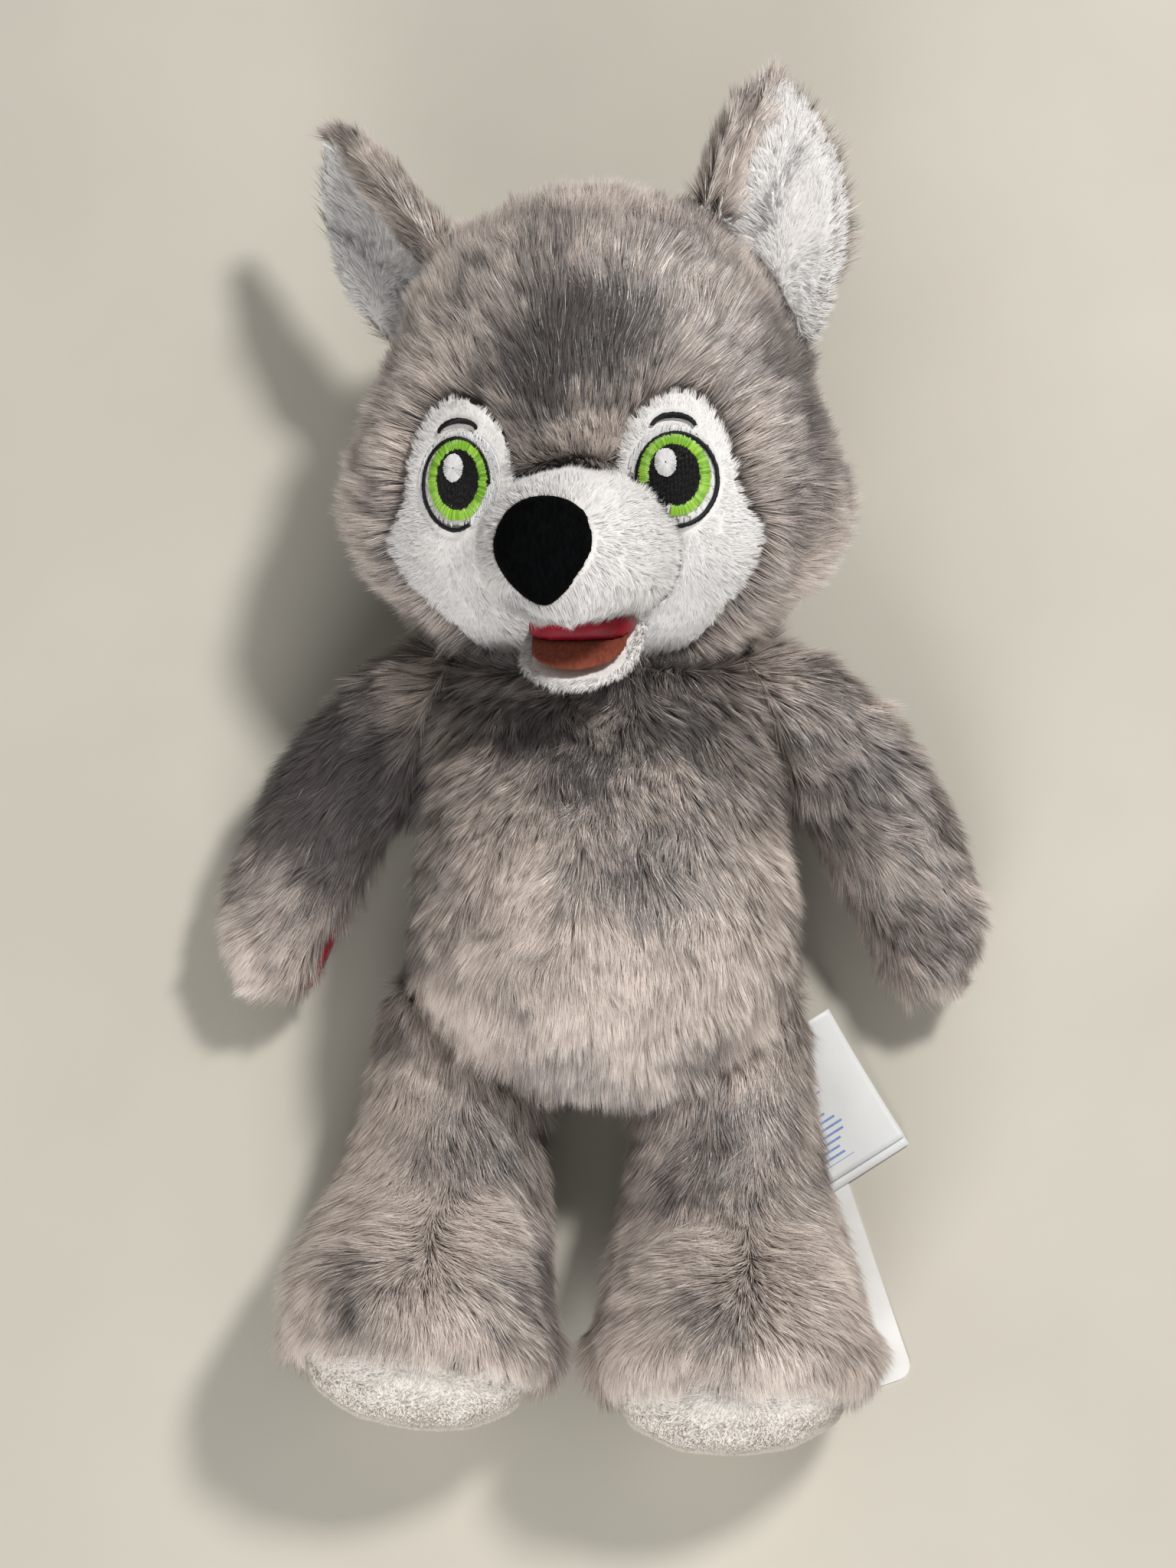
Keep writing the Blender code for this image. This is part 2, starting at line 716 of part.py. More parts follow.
# Torso: share of length from the crotch, half width, front and back as shares of the full sizes
TORSO_PROFILE = (
    (0.00, 0.62, 0.60, 0.72),
    (0.12, 0.86, 0.84, 0.90),
    (0.28, 1.00, 0.98, 1.00),
    (0.46, 0.985, 1.00, 1.00),
    (0.62, 0.93, 0.90, 1.00),
    (0.78, 0.84, 0.72, 0.95),
    (0.90, 0.76, 0.50, 0.80),
    (1.00, 0.66, 0.34, 0.70),
)
TORSO_LOWER_CAP = 42.0
TORSO_UPPER_CAP = 30.0
TORSO_RINGS = 14
TORSO_SIDES = 32
TORSO_SLANT = 1.4


def torso_form():
    length = TORSO_TOP - TORSO_BOTTOM
    half_depth = TORSO_FRONT / 2
    rows = []
    for share, width, front, back in TORSO_PROFILE:
        x = TORSO_SHIFT * (TORSO_SLANT - share)
        rows.append((share * length, x, TORSO_BOTTOM + share * length, half_depth, TORSO_WIDTH / 2 * width,
                     half_depth * front, (half_depth + TORSO_BACK_SUNK) * back))
    return SoftForm(rows, (0, 0, 1), TORSO_LOWER_CAP, TORSO_UPPER_CAP)


# Arm: share of length from the shoulder, bow outwards in millimetres, share of the way down to the floor,
# then width and thickness as shares
ARM_PROFILE = (
    (0.00, -6.0, 0.00, 0.84, 0.92),
    (0.20, 3.0, 0.06, 0.94, 0.98),
    (0.45, 8.0, 0.32, 1.00, 1.00),
    (0.70, 7.0, 0.72, 0.96, 0.94),
    (0.88, 2.0, 0.95, PAW_WIDTH / ARM_WIDTH, 0.88),
    (1.00, -3.0, 1.00, 0.80 * PAW_WIDTH / ARM_WIDTH, 0.80),
)
SHOULDER_OUT = 0.35
SHOULDER_BELOW_TOP = 6.0
SHOULDER_HEIGHT = 45.5
PAW_REST_HEIGHT = 18.7
ARM_CAP = 20.0


def arm_form(side):
    spread_angle = math.radians(ARM_SPREAD)
    shoulder_x = side * TORSO_WIDTH * SHOULDER_OUT + TORSO_SHIFT
    root = Vector((shoulder_x, TORSO_TOP - SHOULDER_BELOW_TOP, SHOULDER_HEIGHT))
    out = Vector((side * math.sin(spread_angle), -math.cos(spread_angle), 0))
    across = Vector((side * math.cos(spread_angle), math.sin(spread_angle), 0))
    rows = []
    for share, bow, drop, width, thick in ARM_PROFILE:
        centre = root + out * (ARM_LENGTH * share) + across * bow
        height = SHOULDER_HEIGHT + (PAW_REST_HEIGHT - SHOULDER_HEIGHT) * drop
        rows.append((share * ARM_LENGTH, centre.x, centre.y, height, ARM_WIDTH / 2 * width,
                     ARM_THICKNESS / 2 * thick, ARM_THICKNESS / 2 * thick))
    return SoftForm(rows, (0, 0, 1), ARM_CAP, ARM_CAP)


PAW_PAD_ALONG = 0.80
PAW_PAD_TURN = 200.0
PAW_PAD_POCKET_OUT = 8.0


def paw_pad(form, grown):
    """The felt patch on the inner side of the left paw, let into the fur."""
    middle_t = ARM_LENGTH * PAW_PAD_ALONG
    middle_angle = math.radians(PAW_PAD_TURN)
    radius = PAW_WIDTH / 2

    def place(x, y, out):
        centre = form.section(middle_t + x)[0]
        surface = form.point(middle_t + x, middle_angle + y / radius)
        return surface + (surface - centre).normalized() * out

    outline = oval((0, 0), PAW_PAD_LENGTH / 2, PAW_PAD_WIDTH / 2, 20)
    if grown:
        return plate(place, spread(outline, GAP), -PAW_PAD_THICKNESS - 2 * GAP, PAW_PAD_POCKET_OUT, (0.6, 1.0))
    return plate(place, outline, -PAW_PAD_THICKNESS - GAP, -GAP, (0.6, 1.0))


# Leg: share of length from the hip, share of the way from hip to foot spacing, then width and height
# as shares of the way from the leg's size to the foot's
LEG_PROFILE = (
    (0.00, 0.00, -0.06, 0.00),
    (0.22, 0.10, 0.00, 0.00),
    (0.45, 0.36, 0.20, 0.08),
    (0.62, 0.62, 0.52, 0.36),
    (0.80, 0.96, 0.93, 0.86),
    (0.91, 1.00, 1.00, 1.00),
    (1.00, 1.00, 0.72, 0.76),
)
LEG_ROOT = -52.0
LEG_ROOT_CAP = 22.0
LEG_MIDDLE = 0.48
LEG_SUNK = 1.0
LEG_SLANT = (0.55, 1.35)


def leg_form(side):
    length = LEG_ROOT - FOOT_END + (RIGHT_FOOT_REACH if side > 0 else 0.0)
    rows = []
    for share, outwards, wide, toe in LEG_PROFILE:
        spacing = LEG_SPACING + (FOOT_SPACING - LEG_SPACING) * outwards
        x = side * spacing / 2 + TORSO_SHIFT * (LEG_SLANT[0] - LEG_SLANT[1] * outwards)
        full_width = LEG_WIDTH + (FOOT_WIDTH - LEG_WIDTH) * wide
        tall = LEG_THICKNESS + (FOOT_HEIGHT - LEG_THICKNESS) * toe
        centre = tall * LEG_MIDDLE
        rows.append((share * length, x, LEG_ROOT - share * length, centre, full_width / 2, tall - centre,
                     centre + LEG_SUNK))
    return SoftForm(rows, (0, 0, 1), LEG_ROOT_CAP, 0.0)


def sole_form(leg):
    centre, half_width, up, down = leg.section(leg.end)
    rows = []
    for share in (0.0, 1.0):
        place = centre + leg.along * (GAP + share * SOLE_DOME)
        rows.append((share * SOLE_DOME, *place, half_width - SOLE_INSET, up - SOLE_INSET, down - SOLE_INSET))
    return SoftForm(rows, (0, 0, 1), 0.0, SOLE_DOME - SOLE_EDGE)


# Tail: share of length from its root, width and thickness as shares
TAIL_PROFILE = ((0.0, 0.60, 0.80), (0.3, 0.95, 1.00), (0.6, 1.00, 1.00), (1.0, 0.70, 0.80))
TAIL_ROOT_CAP = 12.0
TAIL_TIP_CAP = 20.0
TAIL_SUNK = 1.0


def tail_form():
    rows = []
    for share, width, thick in TAIL_PROFILE:
        half_thick = TAIL_THICKNESS / 2 * thick
        rows.append((share * TAIL_LENGTH, TORSO_SHIFT, TAIL_ROOT + share * TAIL_LENGTH, TAIL_THICKNESS / 2,
                     TAIL_WIDTH / 2 * width, half_thick, half_thick + TAIL_SUNK))
    return SoftForm(rows, (0, 0, 1), TAIL_ROOT_CAP, TAIL_TIP_CAP)


# Care label: its root is beside the hip, and it lies down to the height of the card
LABEL_OUT = 66.6
LABEL_ABOVE_CROTCH = 26.0
LABEL_TILT = 2.0
LABEL_STEP_BACK = 3.0
LABEL_RINGS = 8


def label_sheet(layer, grown):
    """A strip of satin ribbon that comes out of the side seam and lies down to the floor."""
    turn = Matrix.Rotation(math.radians(LABEL_TURN), 4, "Z")
    root = Matrix.Translation(Vector((LABEL_OUT, TORSO_BOTTOM + LABEL_ABOVE_CROTCH, 0)))
    frame = root @ turn
    low = CARD_THICKNESS + 2 * GAP + layer * (LABEL_THICKNESS + GAP) - (GAP if grown else 0)
    high = low + LABEL_THICKNESS + (2 * GAP if grown else 0)
    edge = GAP if grown else 0
    short = layer * LABEL_STEP_BACK
    bm = bmesh.new()
    rings = []
    for i in range(LABEL_RINGS):
        y = edge - i / (LABEL_RINGS - 1) * (LABEL_LENGTH - short + 2 * edge)
        share = -y / LABEL_LENGTH
        lift = LABEL_RISE * (1 - share) ** 2
        ring = []
        for x, z in ((-LABEL_WIDTH / 2 - edge, low), (LABEL_WIDTH / 2 + edge, low),
                     (LABEL_WIDTH / 2 + edge, high), (-LABEL_WIDTH / 2 - edge, high)):
            tilt = (0.5 - x / LABEL_WIDTH) * LABEL_TILT * (1 - share)
            ring.append(bm.verts.new(frame @ Vector((x, y, z + lift + tilt))))
        rings.append(ring)
    for ring, following in zip(rings, rings[1:]):
        join_loops(bm, ring, following)
    bm.faces.new(rings[0])
    bm.faces.new(rings[-1])
    bmesh.ops.recalc_face_normals(bm, faces=bm.faces)
    return bm


CARD_OUT = 67.5
CARD_ABOVE_SOLE = 32.0


def card_mesh(grown):
    """A stiff card with round corners that lies flat under the right foot."""
    edge = GAP if grown else 0
    half_width = CARD_WIDTH / 2 + edge
    half_length = CARD_LENGTH / 2 + edge
    corner = CARD_CORNER
    outline = []
    for cx, cy, start in ((1, 1, 0), (-1, 1, 90), (-1, -1, 180), (1, -1, 270)):
        middle = (cx * (half_width - corner), cy * (half_length - corner))
        outline += oval(middle, corner, corner, 5, start, start + 90)
    frame = Matrix.Translation(Vector((CARD_OUT, FOOT_END + CARD_ABOVE_SOLE, 0)))
    frame = frame @ Matrix.Rotation(math.radians(CARD_TURN), 4, "Z")
    bm = bmesh.new()
    layers = []
    for z in (-1.0 if grown else 0.0, CARD_THICKNESS + edge):
        layers.append([bm.verts.new(frame @ Vector((p.x, p.y, z))) for p in outline])
    join_loops(bm, layers[0], layers[1])
    bm.faces.new(layers[0])
    bm.faces.new(layers[1])
    bmesh.ops.recalc_face_normals(bm, faces=bm.faces)
    return bm


def build_head(cloth):
    form = head_form()
    placed = head_matrix()
    head_mesh = transformed(form.mesh(HEAD_RINGS, HEAD_SIDES), placed)
    head = add_object("head", rest_on_floor(head_mesh), cloth["long_grey"])
    space = add_cutter("head_space", transformed(grow(form.mesh(HEAD_RINGS, HEAD_SIDES), GAP), placed))
    muzzle = muzzle_form()
    muzzle_object = add_object("muzzle", transformed(muzzle.mesh(8, 26), placed), cloth["short_white"])
    muzzle_space = add_cutter("muzzle_space", transformed(grow(muzzle.mesh(8, 26), GAP), placed))
    pockets = build_face(form, placed, cloth)
    cut(head, *pockets)
    cut(head, muzzle_space)
    for side_name in ("left", "right"):
        for kind in ("face_patch_", "eye_white_", "eye_outline_", "iris_"):
            cut(bpy.data.objects[kind + side_name], muzzle_space)
    nose = add_object("nose", transformed(nose_mesh(), placed), cloth["nose_felt"])
    cut(nose, muzzle_space)
    jaw_space = build_mouth(placed, cloth, head, muzzle_space)
    for side_name in ("left", "right"):
        cut(bpy.data.objects["face_patch_" + side_name], jaw_space)
    build_ears(placed, cloth, space)
    return space, jaw_space


def build_body(cloth, head_space, jaw_space):
    torso = torso_form()
    torso_object = add_object("torso", rest_on_floor(torso.mesh(TORSO_RINGS, TORSO_SIDES)), cloth["long_grey"])
    torso_space = add_cutter("torso_space", grow(torso.mesh(TORSO_RINGS, TORSO_SIDES), GAP))
    tail = tail_form()
    add_object("tail", rest_on_floor(tail.mesh(6, 16)), cloth["long_grey"])
    tail_space = add_cutter("tail_space", grow(tail.mesh(6, 16), GAP))
    cut(torso_object, head_space, jaw_space, tail_space)
    label_spaces = []
    for layer, layer_name in ((0, "care_label_back"), (1, "care_label_front")):
        add_object(layer_name, label_sheet(layer, False), cloth["label_satin"])
        label_spaces.append(add_cutter(layer_name + "_space", label_sheet(layer, True)))
    cut(torso_object, *label_spaces)
    add_object("card_tag", card_mesh(False), cloth["card"])
    card_space = add_cutter("card_space", card_mesh(True))
    for side, side_name in ((-1, "left"), (1, "right")):
        arm = arm_form(side)
        arm_object = add_object("arm_" + side_name, rest_on_floor(arm.mesh(9, 24)), cloth["long_grey"])
        cut(arm_object, torso_space, head_space)
        if side < 0:
            add_object("paw_pad", paw_pad(arm, False), cloth["red_felt"])
            cut(arm_object, add_cutter("paw_pad_space", paw_pad(arm, True)))
        leg = leg_form(side)
        leg_mesh = rest_on_floor(leg.mesh(14, 28))
        leg_object = add_object("leg_" + side_name, leg_mesh, cloth["long_grey"])
        cut(leg_object, torso_space, tail_space)
        if side > 0:
            cut(leg_object, card_space, *label_spaces)
        sole = sole_form(leg)
        add_object("sole_" + side_name, sole.mesh(1, 28), cloth["sole_velour"])


def main():
    for old in list(bpy.data.objects):
        bpy.data.objects.remove(old, do_unlink=True)
    cloth = {
        "long_grey": material("long_grey", (0.27, 0.22, 0.19), 0.75),
        "short_white": material("short_white", (0.78, 0.77, 0.75), 0.85),
        "sole_velour": material("sole_velour", (0.74, 0.68, 0.60), 0.85),
        "nose_felt": material("nose_felt", (0.006, 0.007, 0.009), 0.9),
        "mouth_satin": material("mouth_satin", (0.30, 0.01, 0.025), 0.45),
        "tongue_felt": material("tongue_felt", (0.34, 0.09, 0.06), 0.8),
        "thread_white": material("thread_white", (0.80, 0.80, 0.80), 0.45),
        "thread_black": material("thread_black", (0.012, 0.012, 0.014), 0.45),
        "thread_green": material("thread_green", (0.30, 0.56, 0.05), 0.45),
        "red_felt": material("red_felt", (0.35, 0.01, 0.02), 0.8),
        "label_satin": material("label_satin", (0.76, 0.79, 0.80), 0.4),
        "card": material("card", (0.72, 0.72, 0.71), 0.5),
    }
    head_space, jaw_space = build_head(cloth)
    build_body(cloth, head_space, jaw_space)


main()
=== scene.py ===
"""Plush wolf on its back on a pale floor, with its pile, embroidery, felt and labels."""

import math

import bmesh
import bpy
import numpy as np
from mathutils import Matrix, Vector
from mathutils.bvhtree import BVHTree
from mathutils.kdtree import KDTree


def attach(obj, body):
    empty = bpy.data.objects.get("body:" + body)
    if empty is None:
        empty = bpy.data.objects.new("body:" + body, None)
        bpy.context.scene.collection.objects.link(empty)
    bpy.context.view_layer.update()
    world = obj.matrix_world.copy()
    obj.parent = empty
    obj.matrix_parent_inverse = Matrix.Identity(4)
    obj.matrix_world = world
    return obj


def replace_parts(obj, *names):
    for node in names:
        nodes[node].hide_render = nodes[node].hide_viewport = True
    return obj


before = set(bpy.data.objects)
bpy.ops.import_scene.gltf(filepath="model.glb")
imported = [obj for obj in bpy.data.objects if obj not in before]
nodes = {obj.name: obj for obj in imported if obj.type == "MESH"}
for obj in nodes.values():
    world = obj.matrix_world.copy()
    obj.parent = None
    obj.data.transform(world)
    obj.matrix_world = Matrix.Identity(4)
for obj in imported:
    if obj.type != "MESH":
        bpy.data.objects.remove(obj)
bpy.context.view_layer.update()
MM = 0.001
# Each piece's own map. On fibres and stitches it gives the place along a fibre and its tone
BAKE_MAP = "OFBake"
# Nothing reaches lower than this, in metres
LOWEST = 0.0003
# The share of roots that stays where the pile faces the floor, and the normal's height from which all stay
BACK_SHARE = 0.5
BACK_LIMIT = -0.25
# How far over a root another solid is looked for, in millimetres
COVERED = 7.5
BODY = ("torso", "arm_left", "arm_right", "leg_left", "leg_right", "head")
SIDES = ((-1, "left"), (1, "right"))

# The head's own frame: x to the side, y to the top of the head and z out of the face
HEAD_CENTRE = Vector((0.0025, 0.115, 0.066))
HEAD_TURN = Matrix.Rotation(math.radians(10), 4, "X") @ Matrix.Rotation(math.radians(-9), 4, "Y")
HEAD = Matrix.Translation(HEAD_CENTRE) @ HEAD_TURN
# Places in that frame, in millimetres. The left eye mirrors the right one
MUZZLE_MIDDLE = (4.0, -48.0)
EYE = (33.5, -21.5)
# How far over the middle of an eye its brow starts
BROW_FOOT = 14.6
# The depth at which the front of the head ends
HEAD_SPLIT = -8

# The line on each ear where the white lining gives way to grey, seen from above, in millimetres
EAR_LINE_TIPS = {-1: (-84.5, 215.0), 1: (60.5, 219.5)}
EAR_LINE_FEET = {-1: (-50.0, 165.5), 1: (42.5, 164.5)}
EAR_CREASE_X = {-1: -72.0, 1: 62.0}
EAR_CREASE_Y = 182.0
# The tuft on each instep, in metres
WHORLS = {-1: np.array([-0.047, -0.148, 0.088]), 1: np.array([0.0505, -0.157, 0.088])}

# Painted light and shade on the pile, seen from above: x, y and two radii in millimetres, and a tone.
# Lighter patches are painted sheen where the nap catches the light, darker ones painted shadow and shade
# Painted shade in the creases of the ear linings: a row of darker spots along each crease
EAR_CREASE_SHADE = (
    (-84, 190, 3, 4, -0.4), (-79, 184, 3, 4, -0.5), (-74, 179, 3, 4, -0.5), (-69, 174, 3, 4, -0.5),
    (-64, 168, 3, 4, -0.45), (68, 203, 2.5, 6, -0.4), (65, 195, 2.5, 6, -0.5), (61, 187, 2.5, 6, -0.5),
    (58, 179, 2.5, 6, -0.5), (55, 172, 2.5, 5, -0.4))
# Painted sheen and shade on the head: a dark spot of painted shade over the muzzle, a lighter crown and left
# temple, a darker right side
HEAD_SHEEN_AND_SHADE = (
    (-5, 119, 20, 19, -0.8), (-18, 140, 18, 9, -0.12), (24, 150, 16, 9, -0.14), (-48, 140, 16, 18, 0.26),
    (2, 184, 30, 10, 0.24), (-30, 165, 12, 10, 0.14), (4, 164, 20, 7, -0.1), (62, 122, 18, 34, -0.3),
    (70, 100, 10, 24, -0.1), (-64, 100, 10, 24, 0.1), (66, 66, 12, 14, 0.24), (14, 140, 8, 6, 0.16))
# Painted sheen and shade on the body: sheen on the belly and thigh tops, the head's shadow on the chest,
# shade under the belly and on the left flank
TORSO_SHEEN_AND_SHADE = (
    (7, -62, 50, 22, 0.44), (-24, -33, 14, 12, 0.34), (13, -42, 9, 15, -0.26), (8, -13, 10, 8, 0.26),
    (54, -25, 12, 12, 0.3), (0, 20, 60, 32, -0.24), (8, -99, 40, 8, -0.16), (-54, -50, 8, 28, -0.2),
    (40, -40, 12, 7, -0.14), (24, 0, 14, 8, 0.08), (-57, -60, 6, 5, 0.5), (-49, -65, 6, 5, 0.5),
    (-41, -70, 6, 5, 0.5), (-33, -75, 6, 5, 0.5))
# Painted shade and sheen on the arms, first the head's shadow on the upper left arm
ARM_SHEEN_AND_SHADE = (
    (-84, 6, 25, 30, -0.8), (-112, -46, 12, 22, 0.26), (-96, -72, 12, 8, 0.16), (84, 6, 26, 22, -0.3),
    (92, -28, 10, 14, 0.14), (118, -60, 9, 14, 0.14), (108, -36, 9, 12, -0.1))
# Painted sheen and shade on the legs
LEG_SHEEN_AND_SHADE = (
    (-36, -106, 18, 18, -0.3), (-72, -118, 10, 24, 0.7), (-90, -150, 12, 30, 0.6), (-47, -144, 14, 13, 0.66),
    (-70, -160, 8, 14, -0.34), (-16, -158, 9, 28, -0.34), (-55, -184, 30, 10, 0.4), (-40, -166, 12, 8, 0.16),
    (42, -114, 22, 22, -0.2), (9, -114, 7, 14, 0.42), (3, -158, 10, 22, 0.46), (62, -178, 18, 16, 0.34),
    (44, -168, 9, 9, -0.12), (18, -176, 12, 12, 0.32), (76, -150, 8, 20, 0.18), (46, -150, 18, 11, 0.34),
    (-57, -67, 6, 5, 0.5), (-49, -72, 6, 5, 0.5), (-41, -77, 6, 5, 0.5), (-33, -82, 6, 5, 0.5))


# Camera and light
CAMERA_ELEVATION = math.radians(78)
CAMERA_DISTANCE = 0.85
CAMERA_TARGET = (0, 0, 0.06)
CAMERA_LENS = 40.2
SENSOR_HEIGHT = 24.0
# The place, size, power and colour of each lamp
KEY_LAMP = ((0.66, 0.62, 1.40), 0.24, 20.0, (1.0, 0.975, 0.945))
FILL_LAMP = ((-0.22, -1.30, 0.80), 1.0, 14.5, (1.0, 0.985, 0.97))
WORLD_COLOUR = (1.0, 0.985, 0.96, 1.0)
WORLD_STRENGTH = 0.24
FLOOR_REACH = 3.0


def put(name, data):
    """A new object in the scene."""
    made = bpy.data.objects.new(name, data)
    bpy.context.scene.collection.objects.link(made)
    return made


def build_camera():
    forward = Vector((0, math.cos(CAMERA_ELEVATION), -math.sin(CAMERA_ELEVATION)))
    data = bpy.data.cameras.new("camera")
    data.sensor_fit = "VERTICAL"
    data.sensor_height = SENSOR_HEIGHT
    data.lens = CAMERA_LENS
    camera = put("camera", data)
    camera.location = Vector(CAMERA_TARGET) - forward * CAMERA_DISTANCE
    camera.rotation_euler = (math.pi / 2 - CAMERA_ELEVATION, 0, 0)
    bpy.context.scene.camera = camera


def area_light(name, place, size, power, colour):
    data = bpy.data.lights.new(name, "AREA")
    data.shape = "DISK"
    data.size = size
    data.energy = power
    data.color = colour
    lamp = put(name, data)
    lamp.location = place
    lamp.rotation_euler = (-Vector(place)).to_track_quat("-Z", "Y").to_euler()


def build_light():
    area_light("key", *KEY_LAMP)
    area_light("fill", *FILL_LAMP)
    world = bpy.data.worlds.new("studio")
    bpy.context.scene.world = world
    world.use_nodes = True
    background = world.node_tree.nodes["Background"]
    background.inputs["Color"].default_value = WORLD_COLOUR
    background.inputs["Strength"].default_value = WORLD_STRENGTH
    bpy.context.scene.view_settings.view_transform = "Standard"


# Materials
class Finish:
    """A Principled material and short ways to build its nodes."""

    def __init__(self, name, colour, roughness, sheen=0.0, specular=0.5):
        self.material = bpy.data.materials.new(name)
        self.material.use_nodes = True
        self.tree = self.material.node_tree
        self.shader = self.tree.nodes["Principled BSDF"]
        values = {"Base Color": (*colour, 1.0), "Roughness": roughness, "Specular IOR Level": specular,
                  "Sheen Weight": sheen, "Sheen Roughness": 0.4}
        for key, value in values.items():
            self.shader.inputs[key].default_value = value

    def add(self, kind, **values):
        node = self.tree.nodes.new(kind)
        for key, value in values.items():
            if key in node.inputs:
                node.inputs[key].default_value = value
            else:
                setattr(node, key, value)
        return node

    def link(self, source, target):
        self.tree.links.new(source, target)

    def place(self):
        return self.add("ShaderNodeTexCoord").outputs["Object"]

    def noise(self, scale, detail=3.0, place=None):
        node = self.add("ShaderNodeTexNoise", Scale=scale, Detail=detail)
        self.link(place or self.place(), node.inputs["Vector"])
        return node.outputs["Fac"]

    def ramp(self, source, stops):
        """Colours by a value from 0 to 1. A stop is a place and a linear colour."""
        node = self.add("ShaderNodeValToRGB")
        while len(node.color_ramp.elements) < len(stops):
            node.color_ramp.elements.new(0.5)
        for element, (at, colour) in zip(node.color_ramp.elements, stops):
            element.position = at
            element.color = (*colour, 1.0)
        self.link(source, node.inputs["Fac"])
        return node.outputs["Color"]

    def mix(self, a, b, factor=1.0, blend="MULTIPLY"):
        """Two colours mixed, by a number or an output."""
        node = self.add("ShaderNodeMix", data_type="RGBA", blend_type=blend)
        if isinstance(factor, float):
            node.inputs[0].default_value = factor
        else:
            self.link(factor, node.inputs[0])
        self.link(a, node.inputs[6])
        self.link(b, node.inputs[7])
        return node.outputs[2]

    def colour(self, source):
        self.link(source, self.shader.inputs["Base Color"])

    def mottle(self, scale, dark, light):
        """A colour between two, in soft patches."""
        return self.ramp(self.noise(scale), [(0.3, dark), (0.7, light)])

    def own_map(self):
        """The two numbers of the piece's own map at each place."""
        where = self.add("ShaderNodeUVMap", uv_map=BAKE_MAP)
        parts = self.add("ShaderNodeSeparateXYZ")
        self.link(where.outputs["UV"], parts.inputs["Vector"])
        return parts.outputs["X"], parts.outputs["Y"]

    def combine(self, operation, a, b=0.0):
        """A Math node on two values, each a number or an output."""
        node = self.add("ShaderNodeMath", operation=operation)
        for socket, value in zip(node.inputs, (a, b)):
            if isinstance(value, float):
                socket.default_value = value
            else:
                self.link(value, socket)
        return node.outputs[0]

    def bump(self, source, strength, distance):
        node = self.add("ShaderNodeBump", Strength=strength, Distance=distance)
        self.link(source, node.inputs["Height"])
        self.link(node.outputs["Normal"], self.shader.inputs["Normal"])

    def weave(self, scale, distortion, strength, depth):
        """The fine ribs of a woven cloth."""
        node = self.add("ShaderNodeTexWave", Scale=scale, Distortion=distortion)
        self.link(self.place(), node.inputs["Vector"])
        self.bump(node.outputs["Fac"], strength, depth)


def pile_finish(name, by_length, by_tone, roughness, sheen, specular):
    """Colour of a pile: one ramp from root to tip, times one ramp over the tone of each fibre."""
    finish = Finish(name, (0.5, 0.5, 0.5), roughness, sheen, specular)
    along, tone = finish.own_map()
    finish.colour(finish.mix(finish.ramp(along, by_length), finish.ramp(tone, by_tone)))
    return finish.material


def ground_finish(name, dark, light, scale):
    """The mottled cloth under a pile."""
    finish = Finish(name, light, roughness=0.8, sheen=0.2)
    finish.colour(finish.mottle(scale, dark, light))
    finish.bump(finish.noise(scale * 3), strength=0.5, distance=0.0006)
    return finish.material


def felt_finish(name, dark, light, roughness, sheen, specular):
    """Pressed felt, with its fibres mostly along y."""
    finish = Finish(name, light, roughness, sheen, specular)
    fibres = finish.add("ShaderNodeMapping")
    finish.link(finish.place(), fibres.inputs["Vector"])
    fibres.inputs["Scale"].default_value = (1.0, 0.35, 0.6)
    grain = finish.noise(900, 6.0, fibres.outputs["Vector"])
    finish.colour(finish.ramp(grain, [(0.32, dark), (0.68, light)]))
    finish.bump(grain, strength=0.6, distance=0.0004)
    return finish.material


def thread_finish(name, dark, light, roughness, specular):
    """Shiny embroidery thread, a little different from stitch to stitch."""
    finish = Finish(name, light, roughness, 0.0, specular)
    _, tone = finish.own_map()
    finish.colour(finish.ramp(tone, [(0.0, dark), (1.0, light)]))
    finish.shader.inputs["Anisotropic"].default_value = 0.4
    return finish.material


# Linear colours from the root of a fibre to its tip, and over its tone
GREY_BY_LENGTH = [(0.0, (0.21, 0.18, 0.16)), (0.3, (0.50, 0.44, 0.40)), (0.65, (0.87, 0.78, 0.72)),
                  (1.0, (0.98, 0.92, 0.87))]
GREY_BY_TONE = [(0.0, (0.11, 0.105, 0.11)), (0.25, (0.31, 0.30, 0.305)), (0.5, (0.58, 0.56, 0.55)),
                (0.75, (0.86, 0.83, 0.81)), (1.0, (1.0, 0.98, 0.965))]
WHITE_BY_LENGTH = [(0.0, (0.80, 0.78, 0.765)), (0.4, (0.89, 0.88, 0.88)), (1.0, (0.95, 0.945, 0.95))]
# The dark low end of this ramp carries the painted shade in the ear creases
WHITE_BY_TONE = [(0.0, (0.36, 0.35, 0.36)), (0.13, (0.93, 0.92, 0.91)), (1.0, (1.0, 1.0, 1.0))]
SOLE_BY_LENGTH = [(0.0, (0.90, 0.86, 0.81)), (1.0, (1.0, 0.985, 0.95))]
NOSE_BY_LENGTH = [(0.0, (0.0008, 0.0009, 0.001)), (1.0, (0.003, 0.0036, 0.0045))]
NOSE_BY_TONE = [(0.0, (0.5, 0.5, 0.5)), (1.0, (1.0, 1.0, 1.0))]


